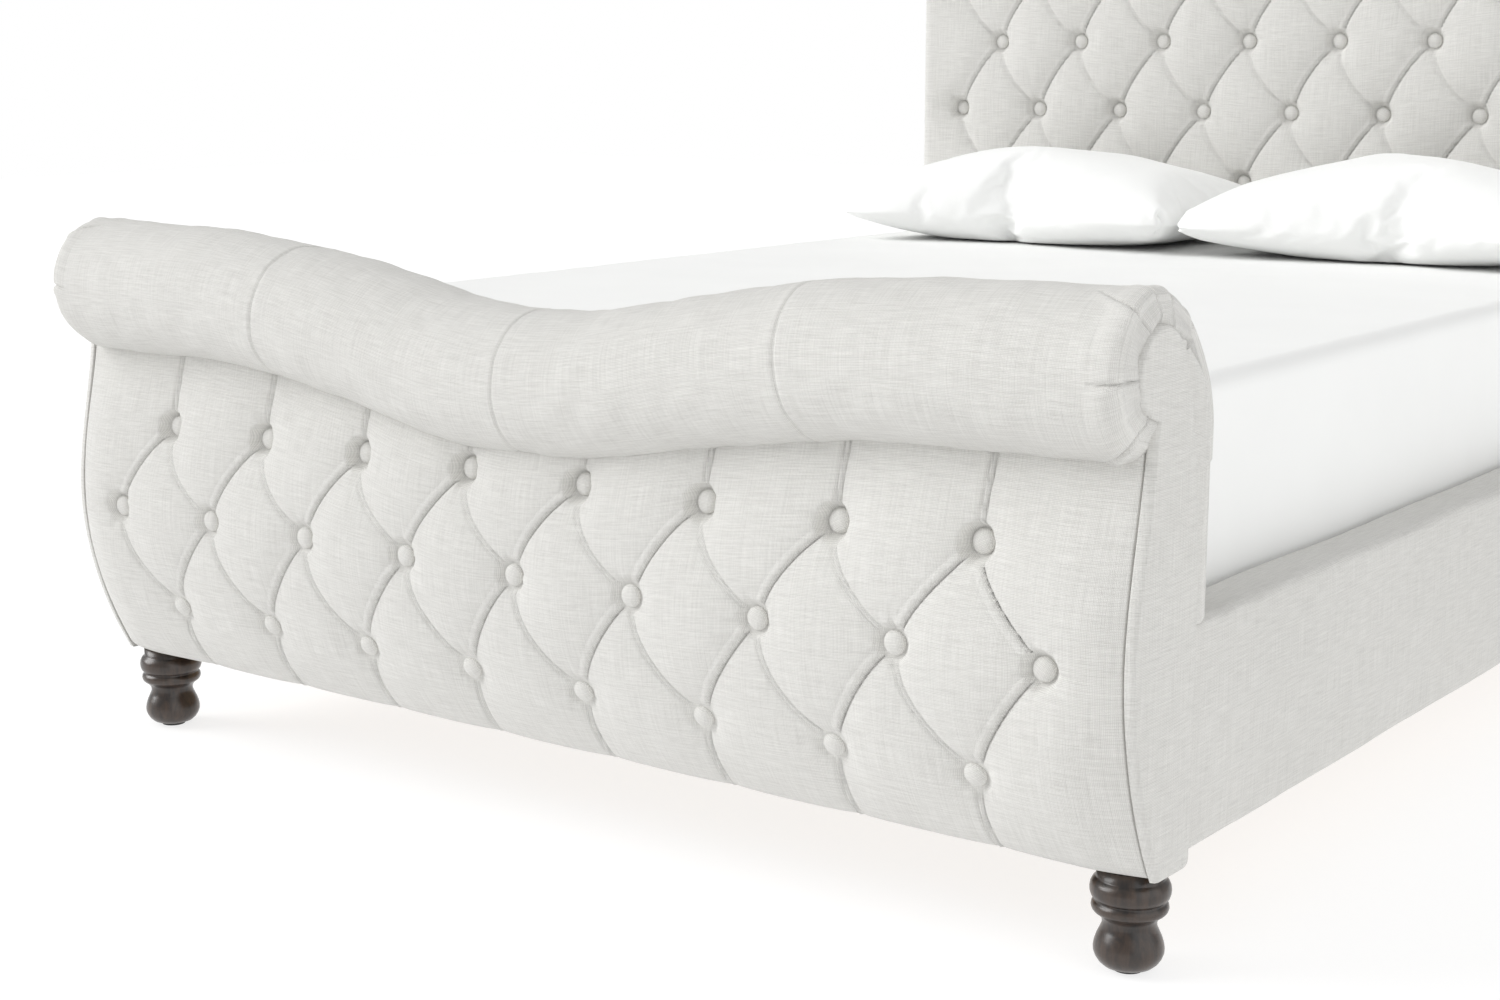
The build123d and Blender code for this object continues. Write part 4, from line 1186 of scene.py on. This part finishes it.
rings = bedding_rings(half_x - 0.002, half_y - 0.002, mattress_low.z + 0.001, mattress_high.z - 0.003,
                      top_crown)
bottom = rounded_ring(half_x - 0.03, half_y - 0.03, mattress_corner - 0.02, mattress_low.z + 0.0005)
bed_mattress = loft("sprung_mattress", [bottom, *rings], ticking, "mattress")
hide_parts("mattress")

rings = bedding_rings(sheet_high.x - 0.0004, sheet_high.y - 0.0004, sheet_low.z + 0.001,
                      sheet_high.z - 0.0015, top_crown)
x, y, z = rings[..., 0], rings[..., 1], rings[..., 2]
past_x, past_y = np.abs(x) - half_x, np.abs(y) - half_y
drapes = np.sin(np.arctan2(past_y + 0.35, past_x + 0.35) * 26) * 0.0022
ease = unevenness(x, y + z, 0.0013, 81) + unevenness(x, y - z, 0.0008, 82, short=0.03, long=0.12)
inward = np.clip(np.abs(ease) + (0.0022 + drapes) * ridge(np.hypot(past_x, past_y), 0, 0.20), 0, 0.006)
on_top = z > sheet_high.z - mattress_edge * 0.5
on_side = np.abs(x) / half_x > np.abs(y) / half_y
rings = np.stack([x - np.where(on_top | ~on_side, 0, 0.3 * inward * np.sign(x)),
                  y - np.where(on_top | on_side, 0, 0.3 * inward * np.sign(y)),
                  z - np.where(on_top, inward * 0.5, 0)], -1)
sheet = loft("fitted_sheet_cover", rings, percale, "mattress", cap=False)
shell = bmesh.new()
shell.from_mesh(sheet.data)
rim = [e for e in shell.edges if e.is_boundary and e.verts[0].co.z > sheet_high.z - 0.02]
bmesh.ops.holes_fill(shell, edges=rim, sides=0)
bmesh.ops.recalc_face_normals(shell, faces=shell.faces)
if max(shell.faces, key=lambda f: f.calc_center_median().z).normal.z < 0:
    bmesh.ops.reverse_faces(shell, faces=shell.faces)
shell.to_mesh(sheet.data)
shell.free()
sheet.data.polygons.foreach_set("use_smooth", [True] * len(sheet.data.polygons))
thicken = sheet.modifiers.new("cloth_thickness", "SOLIDIFY")
thicken.thickness = sheet_thickness
thicken.offset = -1
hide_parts("fitted_sheet")


# ---------------------------------------------------------------- pillows
# Two feather pillows in white percale cases, sewn flat from two squares of cloth and filled,
# so that the seams draw in and the cloth gathers at the corners. They lie flat on the bed.

pillow_seed = {"left": 4, "right": 8}
pillow_flat_grow = (0.062, 0.058)
pillow_cell = 0.011
pillow_frames = 34
pillow_pressure = 5.5


def coordinates(mesh):
    """The points of a mesh as an array."""
    points = np.empty(len(mesh.vertices) * 3)
    mesh.vertices.foreach_get("co", points)
    return points.reshape(-1, 3)


def flat_case(width, depth, start):
    """Two layers of cloth joined round their edge, with a little air between them."""
    columns, rows = int(width / pillow_cell), int(depth / pillow_cell)
    mesh = bmesh.new()
    for way in (1, -1):
        made = []
        for i in range(columns + 1):
            line = []
            for k in range(rows + 1):
                a, b = 2 * i / columns - 1, 2 * k / rows - 1
                lift = start * (1 - a**4) * (1 - b**4) * way
                corner = 0.020 * (abs(a) ** 6) * (abs(b) ** 6)
                line.append(mesh.verts.new((a * (width / 2 - corner), b * (depth / 2 - corner), lift)))
            made.append(line)
        for line, beyond in zip(made, made[1:]):
            for k in range(rows):
                corners = [line[k], beyond[k], beyond[k + 1], line[k + 1]]
                mesh.faces.new(corners if way > 0 else corners[::-1])
    bmesh.ops.remove_doubles(mesh, verts=mesh.verts, dist=0.0002)
    data = bpy.data.meshes.new("pillow_case")
    mesh.to_mesh(data)
    mesh.free()
    return data


def filled(piece, seed):
    """Fill a case with feathers: a cloth simulation under pressure, applied to the mesh."""
    points = coordinates(piece.data)
    points[:, 2] += np.random.default_rng(seed).uniform(-0.0012, 0.0012, len(points))
    piece.data.vertices.foreach_set("co", points.ravel())
    cloth = piece.modifiers.new("filling", "CLOTH")
    settings = cloth.settings
    settings.quality = 6
    settings.mass = 0.22
    settings.tension_stiffness = 28
    settings.compression_stiffness = 26
    settings.shear_stiffness = 9
    settings.bending_stiffness = 0.35
    settings.use_pressure = True
    settings.uniform_pressure_force = pillow_pressure
    settings.effector_weights.gravity = 0
    cloth.collision_settings.use_collision = False
    scene = bpy.context.scene
    for frame_number in range(1, pillow_frames + 1):
        scene.frame_set(frame_number)
    done = applied(piece)
    piece.modifiers.remove(cloth)
    piece.data = done
    scene.frame_set(1)


def make_pillow(hand):
    """One filled pillow in the space of its CAD solid."""
    low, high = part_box(f"pillow_{hand}")
    size = high - low
    data = flat_case(size.x + pillow_flat_grow[0], size.y + pillow_flat_grow[1],
                     0.030)
    pillow = put(f"feather_pillow_{hand}", data)
    filled(pillow, pillow_seed[hand])
    points = coordinates(pillow.data)
    points -= (points.max(0) + points.min(0)) / 2
    # the underside is pressed flat where it rests
    points[points[:, 2] < 0, 2] *= 0.55
    rest = points[:, 2].min() * 0.72
    points[:, 2] = np.where(points[:, 2] < rest, rest + (points[:, 2] - rest) * 0.12, points[:, 2])
    slump = unevenness(points[:, 0], points[:, 1], 0.004, 60 + pillow_seed[hand], short=0.12, long=0.5)
    points[:, 2] += np.where(points[:, 2] > 0, slump, 0)
    least, most = points.min(0), points.max(0)
    space = np.array(size) - 0.0012
    points = (points - (least + most) / 2) * (space / (most - least)) + np.array((low + high) / 2)
    pillow.data.vertices.foreach_set("co", points.ravel())
    finer = pillow.modifiers.new("finer", "SUBSURF")
    finer.levels = finer.render_levels = 1
    finer_mesh = applied(pillow)
    pillow.modifiers.clear()
    pillow.data = finer_mesh
    finer_mesh.polygons.foreach_set("use_smooth", [True] * len(finer_mesh.polygons))
    finer_mesh.materials.clear()
    finer_mesh.materials.append(percale)
    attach(pillow, f"pillow_{hand}")
    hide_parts(f"pillow_{hand}")


make_pillow("left")
make_pillow("right")
